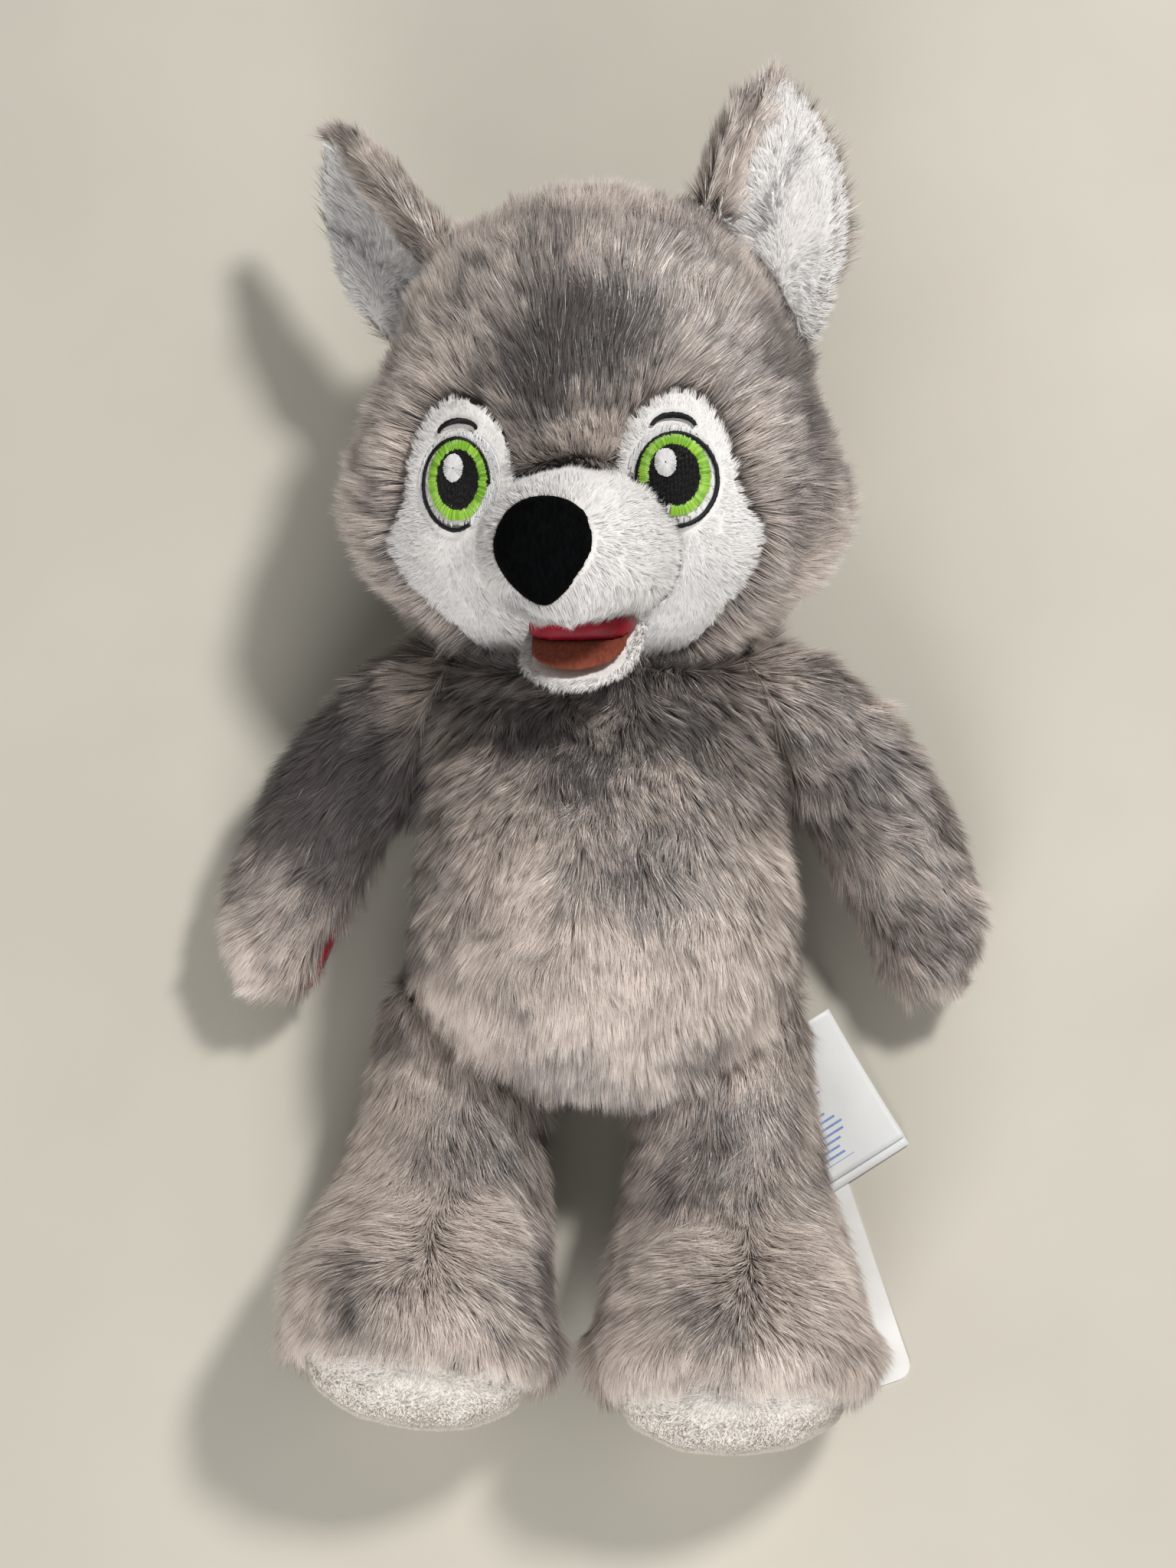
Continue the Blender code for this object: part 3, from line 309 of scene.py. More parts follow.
# Each finish by its name, with its slot. Then: two ramps, roughness, sheen and specular level
PILES = {
    "grey_pile": ("long_grey", GREY_BY_LENGTH, GREY_BY_TONE, 0.34, 0.2, 0.7),
    "white_pile": ("short_white", WHITE_BY_LENGTH, WHITE_BY_TONE, 0.5, 0.1, 0.4),
    "sole_pile": ("sole_velour", SOLE_BY_LENGTH, WHITE_BY_TONE, 0.55, 0.1, 0.4),
    "nose_fuzz": ("nose_felt", NOSE_BY_LENGTH, NOSE_BY_TONE, 0.9, 0.0, 0.05),
}
# Then: a dark and a light colour and the scale of the mottling
GROUNDS = {
    "grey_ground": ("long_grey", (0.07, 0.06, 0.053), (0.17, 0.142, 0.125), 160),
    "ear_ground": ("long_grey", (0.27, 0.235, 0.215), (0.38, 0.335, 0.31), 160),
    "white_ground": ("short_white", (0.78, 0.76, 0.74), (0.88, 0.87, 0.86), 300),
    "sole_ground": ("sole_velour", (0.86, 0.82, 0.77), (0.94, 0.91, 0.87), 260),
}
# Then: a dark and a light colour, roughness, sheen and specular level
FELTS = {
    "nose_felt": ("nose_felt", (0.0006, 0.0007, 0.0008), (0.0025, 0.003, 0.0035), 0.9, 0.0, 0.05),
    "tongue_felt": ("tongue_felt", (0.14, 0.032, 0.017), (0.23, 0.058, 0.032), 0.85, 0.1, 0.2),
    "red_felt": ("red_felt", (0.16, 0.004, 0.010), (0.30, 0.012, 0.025), 0.85, 0.1, 0.2),
}
# Then: a dark and a light colour, roughness and specular level
THREADS = {
    "thread_green": ("thread_green", (0.12, 0.35, 0.010), (0.40, 0.68, 0.075), 0.32, 0.6),
    "thread_black": ("thread_black", (0.0015, 0.0015, 0.002), (0.009, 0.009, 0.011), 0.45, 0.3),
    "thread_white": ("thread_white", (0.60, 0.60, 0.60), (0.84, 0.84, 0.85), 0.32, 0.6),
}


def build_finishes():
    """Each finish and its slot, by its name."""
    made = {}
    for build, table in ((pile_finish, PILES), (ground_finish, GROUNDS), (felt_finish, FELTS),
                         (thread_finish, THREADS)):
        for name, (slot, *values) in table.items():
            made[name] = (build(name, *values), slot)
    return made


def satin_finish():
    finish = Finish("mouth_satin", (0.22, 0.002, 0.016), roughness=0.45, specular=0.35)
    finish.colour(finish.mottle(60, (0.15, 0.001, 0.008), (0.32, 0.003, 0.022)))
    finish.weave(scale=700.0, distortion=0.6, strength=0.25, depth=0.0002)
    return finish.material


# The bars on the printed ribbon: how many rows, and shares of a row's height and of its width and length
BAR_ROWS = 21.0
BAR_HEIGHT = 0.34
BAR_START = 0.10
BAR_END = 0.46
BAR_END_SHIFT = 0.08
BARS_FROM = 0.42
BARS_TO = 0.91


def label_finish(name, printed):
    """White woven ribbon. A printed one has plain blue bars, in from one edge, towards its free end."""
    finish = Finish(name, (0.84, 0.86, 0.87), roughness=0.42, sheen=0.15)
    ribbon = finish.mottle(40, (0.80, 0.82, 0.83), (0.88, 0.90, 0.90))
    if printed:
        combine = finish.combine
        across, along = finish.own_map()
        row = combine("MULTIPLY", along, BAR_ROWS)
        uneven = combine("MULTIPLY", combine("SINE", combine("FLOOR", row)), BAR_END_SHIFT)
        bar = combine("LESS_THAN", combine("FRACT", row), BAR_HEIGHT)
        for test, value, limit in (("LESS_THAN", across, combine("ADD", uneven, BAR_END)),
                                   ("GREATER_THAN", across, BAR_START),
                                   ("GREATER_THAN", along, BARS_FROM), ("LESS_THAN", along, BARS_TO)):
            bar = combine("MULTIPLY", bar, combine(test, value, limit))
        blue = finish.mottle(900, (0.16, 0.28, 0.62), (0.30, 0.42, 0.74))
        ribbon = finish.mix(ribbon, blue, bar, "MIX")
    finish.colour(ribbon)
    finish.weave(scale=900.0, distortion=0.3, strength=0.2, depth=0.0001)
    return finish.material


def card_finish():
    finish = Finish("card", (0.80, 0.80, 0.79), roughness=0.5)
    finish.colour(finish.mottle(90, (0.76, 0.76, 0.745), (0.83, 0.83, 0.82)))
    finish.bump(finish.noise(1500), strength=0.15, distance=0.0001)
    return finish.material


def floor_finish():
    finish = Finish("floor", (0.58, 0.555, 0.49), roughness=0.85, specular=0.2)
    finish.colour(finish.mottle(9, (0.56, 0.535, 0.47), (0.605, 0.58, 0.51)))
    finish.bump(finish.noise(500), strength=0.08, distance=0.0004)
    return finish.material


# Shapes
def link_mesh(name, mesh, finish):
    """A piece that rides on the body. A finish is a material and its slot; the slot is not used."""
    material, slot = finish
    made = put(name, mesh)
    mesh.materials.append(material)
    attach(made, "root")
    return made


# Beside another node the cloth goes in by this share, and by the rest too over this range of millimetres
BESIDE = 0.42
APART = 0.58
BESIDE_RANGE = (1.0, 9.0)
# Corners of a solid closer than this are one, in metres
WELD = 1e-5


def skin(name, node, finish, voxel=4.0, shrink=5.5, smooth=5, shrink_by=None, against=()):
    """A smooth closed copy of a node's solid, a little inside it, and less so beside the nodes against it.

    Lengths are in millimetres.
    """
    bm = bmesh.new()
    bm.from_mesh(nodes[node].data)
    bmesh.ops.remove_doubles(bm, verts=bm.verts, dist=WELD)
    mesh = bpy.data.meshes.new(name)
    bm.to_mesh(mesh)
    bm.free()
    made = put(name, mesh)
    remesh = made.modifiers.new("remesh", "REMESH")
    remesh.mode = "VOXEL"
    remesh.voxel_size = voxel * MM
    softened = made.modifiers.new("soften", "SMOOTH")
    softened.factor = 0.6
    softened.iterations = smooth
    evaluated = made.evaluated_get(bpy.context.evaluated_depsgraph_get())
    final = bpy.data.meshes.new_from_object(evaluated)
    bpy.data.objects.remove(made)
    places = corner_values(final, "co", np.float32)
    inward = corner_values(final, "normal", np.float32) * shrink * MM
    if shrink_by is not None:
        inward = inward * shrink_by(places)[:, None]
    if against:
        beside = node_tree_of(*against)
        apart = np.array([beside.find_nearest(Vector(p))[3] for p in places]) / MM
        inward = inward * (BESIDE + APART * smoothstep(apart, *BESIDE_RANGE))[:, None]
    places = places - inward
    places[:, 2] = np.maximum(places[:, 2], LOWEST)
    final.vertices.foreach_set("co", places.reshape(-1))
    final.update()
    final.shade_smooth()
    final.name = name
    made = link_mesh(name, final, finish)
    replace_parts(made, node)
    return made


def corner_values(mesh, key, kind=np.float64):
    """A vector for each corner of a mesh."""
    values = np.empty(len(mesh.vertices) * 3, kind)
    mesh.vertices.foreach_get(key, values)
    return values.reshape(-1, 3)


def arrays(mesh):
    """Places and normals of the corners, and the triangles, of a mesh."""
    mesh.calc_loop_triangles()
    triangles = np.empty(len(mesh.loop_triangles) * 3, np.int64)
    mesh.loop_triangles.foreach_get("vertices", triangles)
    return corner_values(mesh, "co"), corner_values(mesh, "normal"), triangles.reshape(-1, 3)


def unit(v):
    """Directions of length 1."""
    return v / np.maximum(np.linalg.norm(v, axis=1, keepdims=True), 1e-9)


# How many waves make up a smooth random value
WAVES = 14


def waves(places, size, seed):
    """A smooth random value at each place, about -1 to 1, that changes over size metres."""
    rng = np.random.default_rng(seed)
    turns = unit(rng.normal(size=(WAVES, 3))) * (2 * math.pi / size) * rng.uniform(0.5, 1.5, (WAVES, 1))
    return np.sin(places @ turns.T + rng.uniform(0, 2 * math.pi, WAVES)).sum(1) / math.sqrt(WAVES)


def directions(root, x, y, z=0.0):
    """A direction for each root, from numbers or from arrays of them."""
    out = np.empty_like(root)
    out[:, 0] = x
    out[:, 1] = y
    out[:, 2] = z
    return out


def smoothstep(value, low, high):
    """0 below low, 1 above high and a smooth way between them."""
    share = np.clip((value - low) / (high - low), 0, 1)
    return share * share * (3 - 2 * share)


def node_tree_of(*names):
    """The named solids, for finding what a line meets."""
    places = []
    faces = []
    for name in names:
        co, _, triangles = arrays(nodes[name].data)
        faces.append(triangles + sum(len(p) for p in places))
        places.append(co)
    return BVHTree.FromPolygons(np.concatenate(places).tolist(), np.concatenate(faces).tolist())


# Where the three corners of a blade are on its map: two at the root and one at the tip
BLADE_ALONG = (0.04, 0.04, 0.99)
BLADE_TONE = (-0.006, 0.0, 0.006)
TONE_LIMITS = (0.02, 0.98)


def fibre_mesh(name, corners, normals, tone):
    """Blades of three corners each, with their own map and with the pile's soft normals."""
    count = len(tone)
    places = np.stack(corners, 1).reshape(-1, 3)
    places[:, 2] = np.maximum(places[:, 2], LOWEST)
    mesh = bpy.data.meshes.new(name)
    mesh.vertices.add(count * 3)
    mesh.vertices.foreach_set("co", places.astype(np.float32).reshape(-1))
    mesh.loops.add(count * 3)
    mesh.loops.foreach_set("vertex_index", np.arange(count * 3, dtype=np.int32))
    mesh.polygons.add(count)
    mesh.polygons.foreach_set("loop_start", np.arange(0, count * 3, 3, dtype=np.int32))
    mesh.update(calc_edges=True)
    along = np.tile(BLADE_ALONG, count)
    tone = np.repeat(np.clip(tone, *TONE_LIMITS), 3) + np.tile(BLADE_TONE, count)
    layer = mesh.uv_layers.new(name=BAKE_MAP)
    layer.data.foreach_set("uv", np.stack([along, tone], 1).astype(np.float32).reshape(-1))
    mesh.shade_smooth()
    mesh.normals_split_custom_set_from_vertices(np.repeat(normals, 3, axis=0).astype(np.float32))
    return mesh


# A solid over a root lies flat when its normal is this much against the root's
LIES_FLAT = -0.8


def scattered(base, density, rng, wanted, others, near, beneath):
    """Roots and normals all over a mesh, but none with another solid within near millimetres over it.

    With beneath, a root is also left out where another solid lies flat over it, a little further off.
    """
    places, facing, triangles = arrays(base.data)
    a, b, c = (places[triangles[:, k]] for k in range(3))
    areas = np.linalg.norm(np.cross(b - a, c - a), axis=1) / 2
    count = int(areas.sum() * 1e6 * density)
    spots = (np.arange(count) + rng.random(count)) / count
    chosen = np.minimum(np.searchsorted(np.cumsum(areas) / areas.sum(), spots), len(triangles) - 1)
    u, v = rng.random(count), rng.random(count)
    over = u + v > 1
    u[over], v[over] = 1 - u[over], 1 - v[over]
    shares = np.stack([1 - u - v, u, v], 1)[:, :, None]
    corners = triangles[chosen]
    root = (places[corners] * shares).sum(1)
    normal = unit((facing[corners] * shares).sum(1))
    keep = (normal[:, 2] > BACK_LIMIT) | (rng.random(count) < BACK_SHARE)
    if wanted is not None:
        keep &= wanted(root, normal)
    root, normal = root[keep], normal[keep]

    def is_free(place, away):
        _, facing, _, distance = others.ray_cast(place, away, COVERED * MM)
        if facing is None:
            return True
        return distance > near * MM and not (beneath and facing.dot(away) < LIES_FLAT)
    free = [is_free(Vector(p), Vector(n)) for p, n in zip(root, normal)]
    return root[free], normal[free]


def tangent(heading, normal):
    """The directions made to lie along the surface."""
    return unit(heading - normal * (heading * normal).sum(1, keepdims=True))


# How a pile varies from place to place. Sizes are in metres
SWIRL_SIZE = 0.022
SWIRL = 0.30
PATCH_SIZE = 0.034
FINE_SIZE = 0.009
RISE_BY_PATCH = 0.20
RISE_BY_FINE = 0.15
RISE_SPREAD = 0.22
RISE_LIMITS = (0.06, 1.4)
SHORTEST = 0.78
LENGTH_SPREAD = 0.44
LENGTH_BY_FINE = 0.10
ROLL_SPREAD = 0.45
ROOT_DEPTH = 0.0004
# Clumps: the least number of them, the most that a fibre leans, and how alike two normals have to be
FEWEST_CLUMPS = 8
MOST_PULL = 0.95
SAME_SIDE = 0.6
# The soft normals of the fibres: the skin's share, what is added upwards, and the spread
SOFT_SHARE = 0.97
SOFT_UP = np.array([0, 0, 0.26])
SOFT_SPREAD = 0.17
# Tone: the middle, what each thing adds, and the painted glints: how much a glinting fibre is brightened to
# stand in for specular sparkle, how much less in painted shade, and the share of fibres that glint
TONE_MIDDLE = 0.42
TONE_BY_FINE = 0.08
TONE_BY_CLUMP = 0.11
TONE_SPREAD = 0.12
PAINTED_GLINT = 0.44
PAINTED_GLINT_BY_SHADE = 2.5
PAINTED_GLINT_SHARE = 0.11


def pile(name, base, own, finish, density, length, width, lift, flow, seed, tone=None, wanted=None,
         clump=0.42, clump_area=5.0, near=3.0, stray=0.16, length_by=None, lift_by=None, nap=0.15,
         relief=0.42, beneath=True):
    """Fibres all over a skin. Lengths are in millimetres, density is per square millimetre.

    flow gives the direction in which they lie at each place, and lift the degrees by which they stand up.
    Fibres near one another lean together in clumps.
    """
    rng = np.random.default_rng(seed)
    others = node_tree_of(*(node for node in nodes if node not in own))
    root, normal = scattered(base, density, rng, wanted, others, near, beneath)
    count = len(root)
    swirl = np.stack([waves(root, SWIRL_SIZE, seed + k) for k in (11, 12, 13)], 1)
    heading = tangent(flow(root, normal), normal)
    heading = tangent(heading + swirl * SWIRL + rng.normal(size=(count, 3)) * stray, normal)
    patches = waves(root, PATCH_SIZE, seed + 21)
    fine = waves(root, FINE_SIZE, seed + 22)
    uneven = 1 + RISE_BY_PATCH * patches + RISE_BY_FINE * fine + RISE_SPREAD * rng.normal(size=count)
    rise = np.radians(lift) * uneven
    if lift_by is not None:
        rise = rise * lift_by(root, normal)
    long = length * MM * (SHORTEST + LENGTH_SPREAD * rng.random(count)) * (1 + LENGTH_BY_FINE * fine)
    if length_by is not None:
        long = long * length_by(root, normal)
    rise = np.clip(rise, *RISE_LIMITS)[:, None]
    tip = root + (heading * np.cos(rise) + normal * np.sin(rise)) * long[:, None]
    lead_tone = np.zeros(count)
    if clump:
        leads = rng.permutation(count)[:max(FEWEST_CLUMPS, int(count / (clump_area * density)))]
        tree = KDTree(len(leads))
        for k, i in enumerate(leads):
            tree.insert(root[i], k)
        tree.balance()
        lead = leads[[tree.find(p)[1] for p in root]]
        pull = clump * (0.5 + rng.random(count))
        pull = (np.clip(pull, 0, MOST_PULL) * ((normal * normal[lead]).sum(1) > SAME_SIDE))[:, None]
        tip = tip * (1 - pull) + tip[lead] * pull
        lead_tone = rng.normal(size=count)[lead]
    roll = rng.normal(size=count)[:, None] * ROLL_SPREAD
    side = unit(np.cross(tip - root, normal))
    across = unit(side * np.cos(roll) + normal * np.sin(roll)) * width * MM / 2
    own_normal = unit(np.cross(across, tip - root))
    own_normal = own_normal * np.sign((own_normal * normal).sum(1, keepdims=True) + 1e-9)
    soft = normal * (SOFT_SHARE - relief) + own_normal * relief + SOFT_UP
    soft = unit(soft + rng.normal(size=(count, 3)) * SOFT_SPREAD)
    # The tone: random variation over patches, clumps and fibres, plus the painted sheen and shade of the
    # tone table
    shade = TONE_MIDDLE + nap * patches + TONE_BY_FINE * fine + TONE_BY_CLUMP * lead_tone
    shade = shade + TONE_SPREAD * rng.normal(size=count)
    # Painted glints: a share of fibres brightened to stand in for specular sparkle, fewer in painted shade
    painted_glint = np.full(count, PAINTED_GLINT)
    if tone is not None:
        patch = tone(root, normal)
        shade = shade + patch
        painted_glint = painted_glint * np.clip(1 + PAINTED_GLINT_BY_SHADE * patch, 0.1, 1.0)
    shade = shade + painted_glint * (rng.random(count) < PAINTED_GLINT_SHARE)
    start = root - normal * ROOT_DEPTH
    link_mesh(name, fibre_mesh(name, (start - across, start + across, tip), soft, shade), finish)


# The axes of the head's own frame
HEAD_AXES = np.array(HEAD_TURN.to_3x3())


def to_head(places):
    """Places in the head's own frame, in millimetres."""
    return (places - np.array(HEAD_CENTRE)) @ HEAD_AXES / MM


def from_head(headings):
    """Directions given in the head's own frame."""
    return headings @ HEAD_AXES.T


# The head's pile lies away from this place in its own frame, in millimetres
HEAD_PARTING = np.array([1.0, -30.0, 40.0])


def head_flow(root, normal):
    """Away from a place behind the muzzle, and down to the neck behind."""
    q = to_head(root)
    out = q - HEAD_PARTING
    behind = smoothstep(-q[:, 2], 0.0, 40.0)[:, None]
    out = unit(out) * (1 - behind) + np.array([0.0, -1.0, 0.0]) * behind
    return from_head(out)


def toned(table, start=0.0):
    """The tone of a piece: a start, and the painted sheen and shade patches of a table, fading out where the
    pile turns down.
    """
    def tone(root, normal):
        x, y = root[:, 0] / MM, root[:, 1] / MM
        total = np.zeros(len(root))
        for centre_x, centre_y, radius_x, radius_y, amount in table:
            total += amount * np.exp(-((x - centre_x) / radius_x) ** 2 - ((y - centre_y) / radius_y) ** 2)
        return start + total * smoothstep(normal[:, 2], -0.3, 0.2)
    return tone


# The bridge over the muzzle: its place up the face and its two radii
BRIDGE_Y = -12.0
BRIDGE_SIZE = (24, 20)


def between_eyes(q):
    """How near a place is to the bridge over the muzzle, from 0 to 1."""
    across, up = q[:, 0] / BRIDGE_SIZE[0], (q[:, 1] - BRIDGE_Y) / BRIDGE_SIZE[1]
    return np.exp(-across ** 2 - up ** 2) * (q[:, 2] > 0)


def head_shrink(places):
    """The cloth comes closer to the surface over the muzzle, where the pile is short."""
    return 1 - 0.65 * between_eyes(to_head(places))


def head_length(root, normal):
    """Shorter on the bridge over the muzzle and longer at the cheeks."""
    q = to_head(root)
    cheek = smoothstep(np.abs(q[:, 0]), 55, 80) * smoothstep(-q[:, 1], 0, 30)
    return 1 - 0.50 * between_eyes(q) + 0.20 * cheek


def torso_flow(root, normal):
    """Down the body, spreading a little from its middle."""
    return directions(root, (root[:, 0] - 0.005) * 4.0, -1.0)


def torso_lift(root, normal):
    """The pile stands out at the foot of the belly, over the tops of the legs."""
    return 1 + 1.3 * smoothstep(-normal[:, 1], 0.35, 0.85) * smoothstep(-root[:, 1], 0.03, 0.07)


# How far an arm turns away from the body, in degrees
ARM_ANGLE = 32.5


def arm_flow(side):
    """Down the arm, and a little outwards."""
    angle = math.radians(ARM_ANGLE)
    return straight_flow(side * math.sin(angle) + side * 0.25, -math.cos(angle), -0.15)


# How far the tuft on an instep turns the pile and raises it, in metres
WHORL_REACH = 0.026
TUFT_REACH = 0.016
# The end of a leg, behind the sole, in metres
LEG_END = (0.166, 0.180)
# What is added to the tone of all the pile of a leg, painted light that brightens the legs, and of an ear
LEG_PAINTED_LIGHT = 0.13
EAR_TONE = 0.04


def leg_flow(side):
    """Down the leg, parting round a tuft on the instep."""
    whorl = WHORLS[side]

    def flow(root, normal):
        away = root - whorl
        near = np.exp(-(np.linalg.norm(away, axis=1) / WHORL_REACH) ** 2)[:, None]
        out = directions(root, (root[:, 0] - whorl[0]) * 9.0, -1.0)
        return out * (1 - 0.5 * near) + (away / 0.022) * near
    return flow


def leg_end_shrink(places):
    """The cloth comes closer to the surface at the end of a leg, and the pile there hangs over the sole."""
    return 1 - 0.8 * smoothstep(-places[:, 1], *LEG_END)


def leg_lift(side):
    """The pile stands up at the tuft."""
    def lift(root, normal):
        return 1 + 0.6 * np.exp(-(np.linalg.norm(root - WHORLS[side], axis=1) / TUFT_REACH) ** 2)
    return lift


def above_sole(root, normal):
    """All of a leg but the flat end behind the sole."""
    return normal[:, 1] > -0.9


def ear_flow(side):
    """Towards the tip of the ear, and outwards, on the right ear at its outer edge alone."""
    def flow(root, normal):
        outwards = -0.8 if side < 0 else 0.15 + 0.9 * smoothstep(root[:, 0] / MM, 70, 84)
        return from_head(directions(root, outwards, 1.0))
    return flow


def ear_lining_flow(side):
    """Away from the crease along the middle of the lining, and towards the tip."""
    def flow(root, normal):
        across = np.clip((root[:, 0] / MM - EAR_CREASE_X[side]) / 6, -1, 1)
        return directions(root, across, 0.7 + (root[:, 1] / MM - EAR_CREASE_Y) / 40)
    return flow


def muzzle_flow(root, normal):
    """Back from the nose, and down over the mouth under it."""
    q = to_head(root)
    out = directions(root, (q[:, 0] - MUZZLE_MIDDLE[0]) / 25, (q[:, 1] - MUZZLE_MIDDLE[1]) / 25, -0.9)
    lip = smoothstep(MUZZLE_MIDDLE[1] - q[:, 1], 2, 16)[:, None]
    out = out * (1 - lip) + np.array([0.0, -1.0, 0.15]) * lip
    return from_head(out)


def muzzle_length(root, normal):
    """Longer at the lip, and longest at the foot, where it lies over the face."""
    q = to_head(root)
    lip = smoothstep(MUZZLE_MIDDLE[1] - q[:, 1], 4, 18) * smoothstep(q[:, 2], 60, 95)
    foot = 1 - smoothstep(q[:, 2], 62, 84)
    return 1 + 0.45 * lip + 1.0 * foot * (1 - lip)


def face_flow(root, normal):
    """Outwards from the middle of each patch, over its edge."""
    q = to_head(root)
    return from_head(directions(root, (q[:, 0] - np.sign(q[:, 0]) * 34) / 20, (q[:, 1] + 30) / 34))


def face_length(root, normal):
    """Longer at the rim of the patches, where it lies over the grey."""
    return 1 + 0.35 * (1 - smoothstep(normal @ HEAD_AXES[:, 2], 0.55, 0.85))


def jaw_flow(root, normal):
    """Out of the mouth and down over the lip."""
    return from_head(directions(root, 0.0, -0.6, 0.6))


def straight_flow(x, y, z):
    """One direction for all the fibres."""
    def flow(root, normal):
        return directions(root, x, y, z)
    return flow


# The strip of the head over the muzzle: half its width, its lowest and highest place and its depth
STRIP = (17, 14, 40, 20)


def over_muzzle(root, normal):
    """Roots on the edge of the head over the muzzle, between the face patches."""
    half_width, low, high, depth = STRIP
    q = to_head(root)
    above = q[:, 1] - MUZZLE_MIDDLE[1]
    beside = np.abs(q[:, 0] - MUZZLE_MIDDLE[0])
    return (beside < half_width) & (above > low) & (above < high) & (q[:, 2] > depth)


# The bare ovals under an eye and a brow: half widths and heights, and how much lower the eye's one lies
BARE_EYE = (13.6, 15.6)
BARE_EYE_SUNK = 1.1
BARE_BROW = (7.3, 5.2)


def bare_face(root, normal):
    """Roots on the front of the face patches, but not under the eyes and brows."""
    q = to_head(root)
    across = np.abs(q[:, 0]) - EYE[0]
    up = q[:, 1] - EYE[1]
    eye = (across / BARE_EYE[0]) ** 2 + ((up + BARE_EYE_SUNK) / BARE_EYE[1]) ** 2 < 1
    arch = np.hypot(across / BARE_BROW[0], (up - BROW_FOOT) / BARE_BROW[1])
    brow = (arch < 1) & (up > BROW_FOOT)
    return (normal @ HEAD_AXES[:, 2] > 0.1) & ~eye & ~brow


def ear_rim(side, white):
    """Roots of an ear on the front of its outer rim, where the pile is white, or all the others."""
    outer = ear_split(side, False)

    def chosen(root, normal):
        front = outer(root, normal) & (normal[:, 2] > (-0.35 if side < 0 else 0.05))
        return front if white else ~front
    return chosen


def ear_split(side, inner):
    """Roots of an ear on the inner or the outer side of the line where its white pile ends."""
    tip, foot = np.array(EAR_LINE_TIPS[side]), np.array(EAR_LINE_FEET[side])
    run = foot - tip

    def chosen(root, normal):
        away = root[:, :2] / MM - tip
        towards_head = side * (run[0] * away[:, 1] - run[1] * away[:, 0]) < 0
        return towards_head if inner else ~towards_head
    return chosen


def front_of_head(root, normal):
    return to_head(root)[:, 2] > HEAD_SPLIT


def back_of_head(root, normal):
    return ~front_of_head(root, normal)


def build_head(finish):
    grey, white, white_ground = finish["grey_pile"], finish["white_pile"], finish["white_ground"]
    head = skin("head_cloth", "head", finish["grey_ground"], shrink_by=head_shrink,
                against=("torso", "arm_left", "arm_right", "ear_left", "ear_right"))

    def head_pile(name, wanted, **more):
        pile(name, head, ("head",), grey, length=11.5, width=0.30, flow=head_flow,
             tone=toned(HEAD_SHEEN_AND_SHADE), wanted=wanted, length_by=head_length, **more)

    head_pile("head_pile_front", front_of_head, density=4.4, lift=25, seed=101, near=1.2)
    head_pile("head_pile_back", back_of_head, density=2.6, lift=25, seed=151, near=1.2)
    head_pile("bridge_pile", over_muzzle, density=4.4, lift=20, seed=171, near=0.1, beneath=False)
    ear_tone = toned((), EAR_TONE)
    for side, side_name in SIDES:
        own = ("ear_" + side_name, "ear_lining_" + side_name)
        ear = skin("ear_cloth_" + side_name, own[0], finish["ear_ground"], voxel=2.0, shrink=1.5, smooth=4)
        pile("ear_pile_" + side_name, ear, own[:1], grey, density=4.4, length=9.5, width=0.32, lift=20,
             flow=ear_flow(side), seed=500 + side, tone=ear_tone, wanted=ear_rim(side, False), near=2.5)
        pile("ear_rim_pile_" + side_name, ear, own[:1], white, density=5.0, length=5.0, width=0.30, lift=24,
             flow=ear_lining_flow(side), seed=550 + side, wanted=ear_rim(side, True), near=2.2, nap=0.06)
        lining = skin("ear_lining_cloth_" + side_name, own[1], white_ground, voxel=1.5, shrink=0.2, smooth=3)
        pile("ear_lining_pile_" + side_name, lining, own, white, density=5.0, length=4.6, width=0.30,
             lift=26, flow=ear_lining_flow(side), seed=600 + side, tone=toned(EAR_CREASE_SHADE),
             wanted=ear_split(side, False), near=2.0, clump_area=6.0, nap=0.10)
        pile("ear_edge_pile_" + side_name, lining, own, grey, density=4.4, length=9.0, width=0.34, lift=16,
             flow=ear_flow(side), seed=650 + side, tone=ear_tone, wanted=ear_split(side, True), near=2.0)
        patch_name = "face_patch_" + side_name
        patch = skin("face_cloth_" + side_name, patch_name, white_ground, voxel=1.6, shrink=0.2, smooth=2)
        pile("face_pile_" + side_name, patch, (patch_name,), white, density=5.6, length=3.0, width=0.28,
             lift=18, flow=face_flow, seed=700 + side, wanted=bare_face, near=1.6, clump_area=4.0, nap=0.06,
             length_by=face_length, relief=0.22)
    muzzle = skin("muzzle_cloth", "muzzle", white_ground, voxel=2.2, shrink=1.6)
    pile("muzzle_pile", muzzle, ("muzzle",), white, density=4.4, length=4.2, width=0.30, lift=22,
         flow=muzzle_flow, seed=1000, near=1.9, length_by=muzzle_length, nap=0.06, relief=0.28)
    jaw = skin("jaw_cloth", "lower_jaw", white_ground, voxel=1.4, shrink=1.2, smooth=3)
    pile("jaw_pile", jaw, ("lower_jaw",), white, density=5.0, length=3.2, width=0.28, lift=24, flow=jaw_flow,
         seed=1100, near=1.4, clump_area=4.0, nap=0.08)


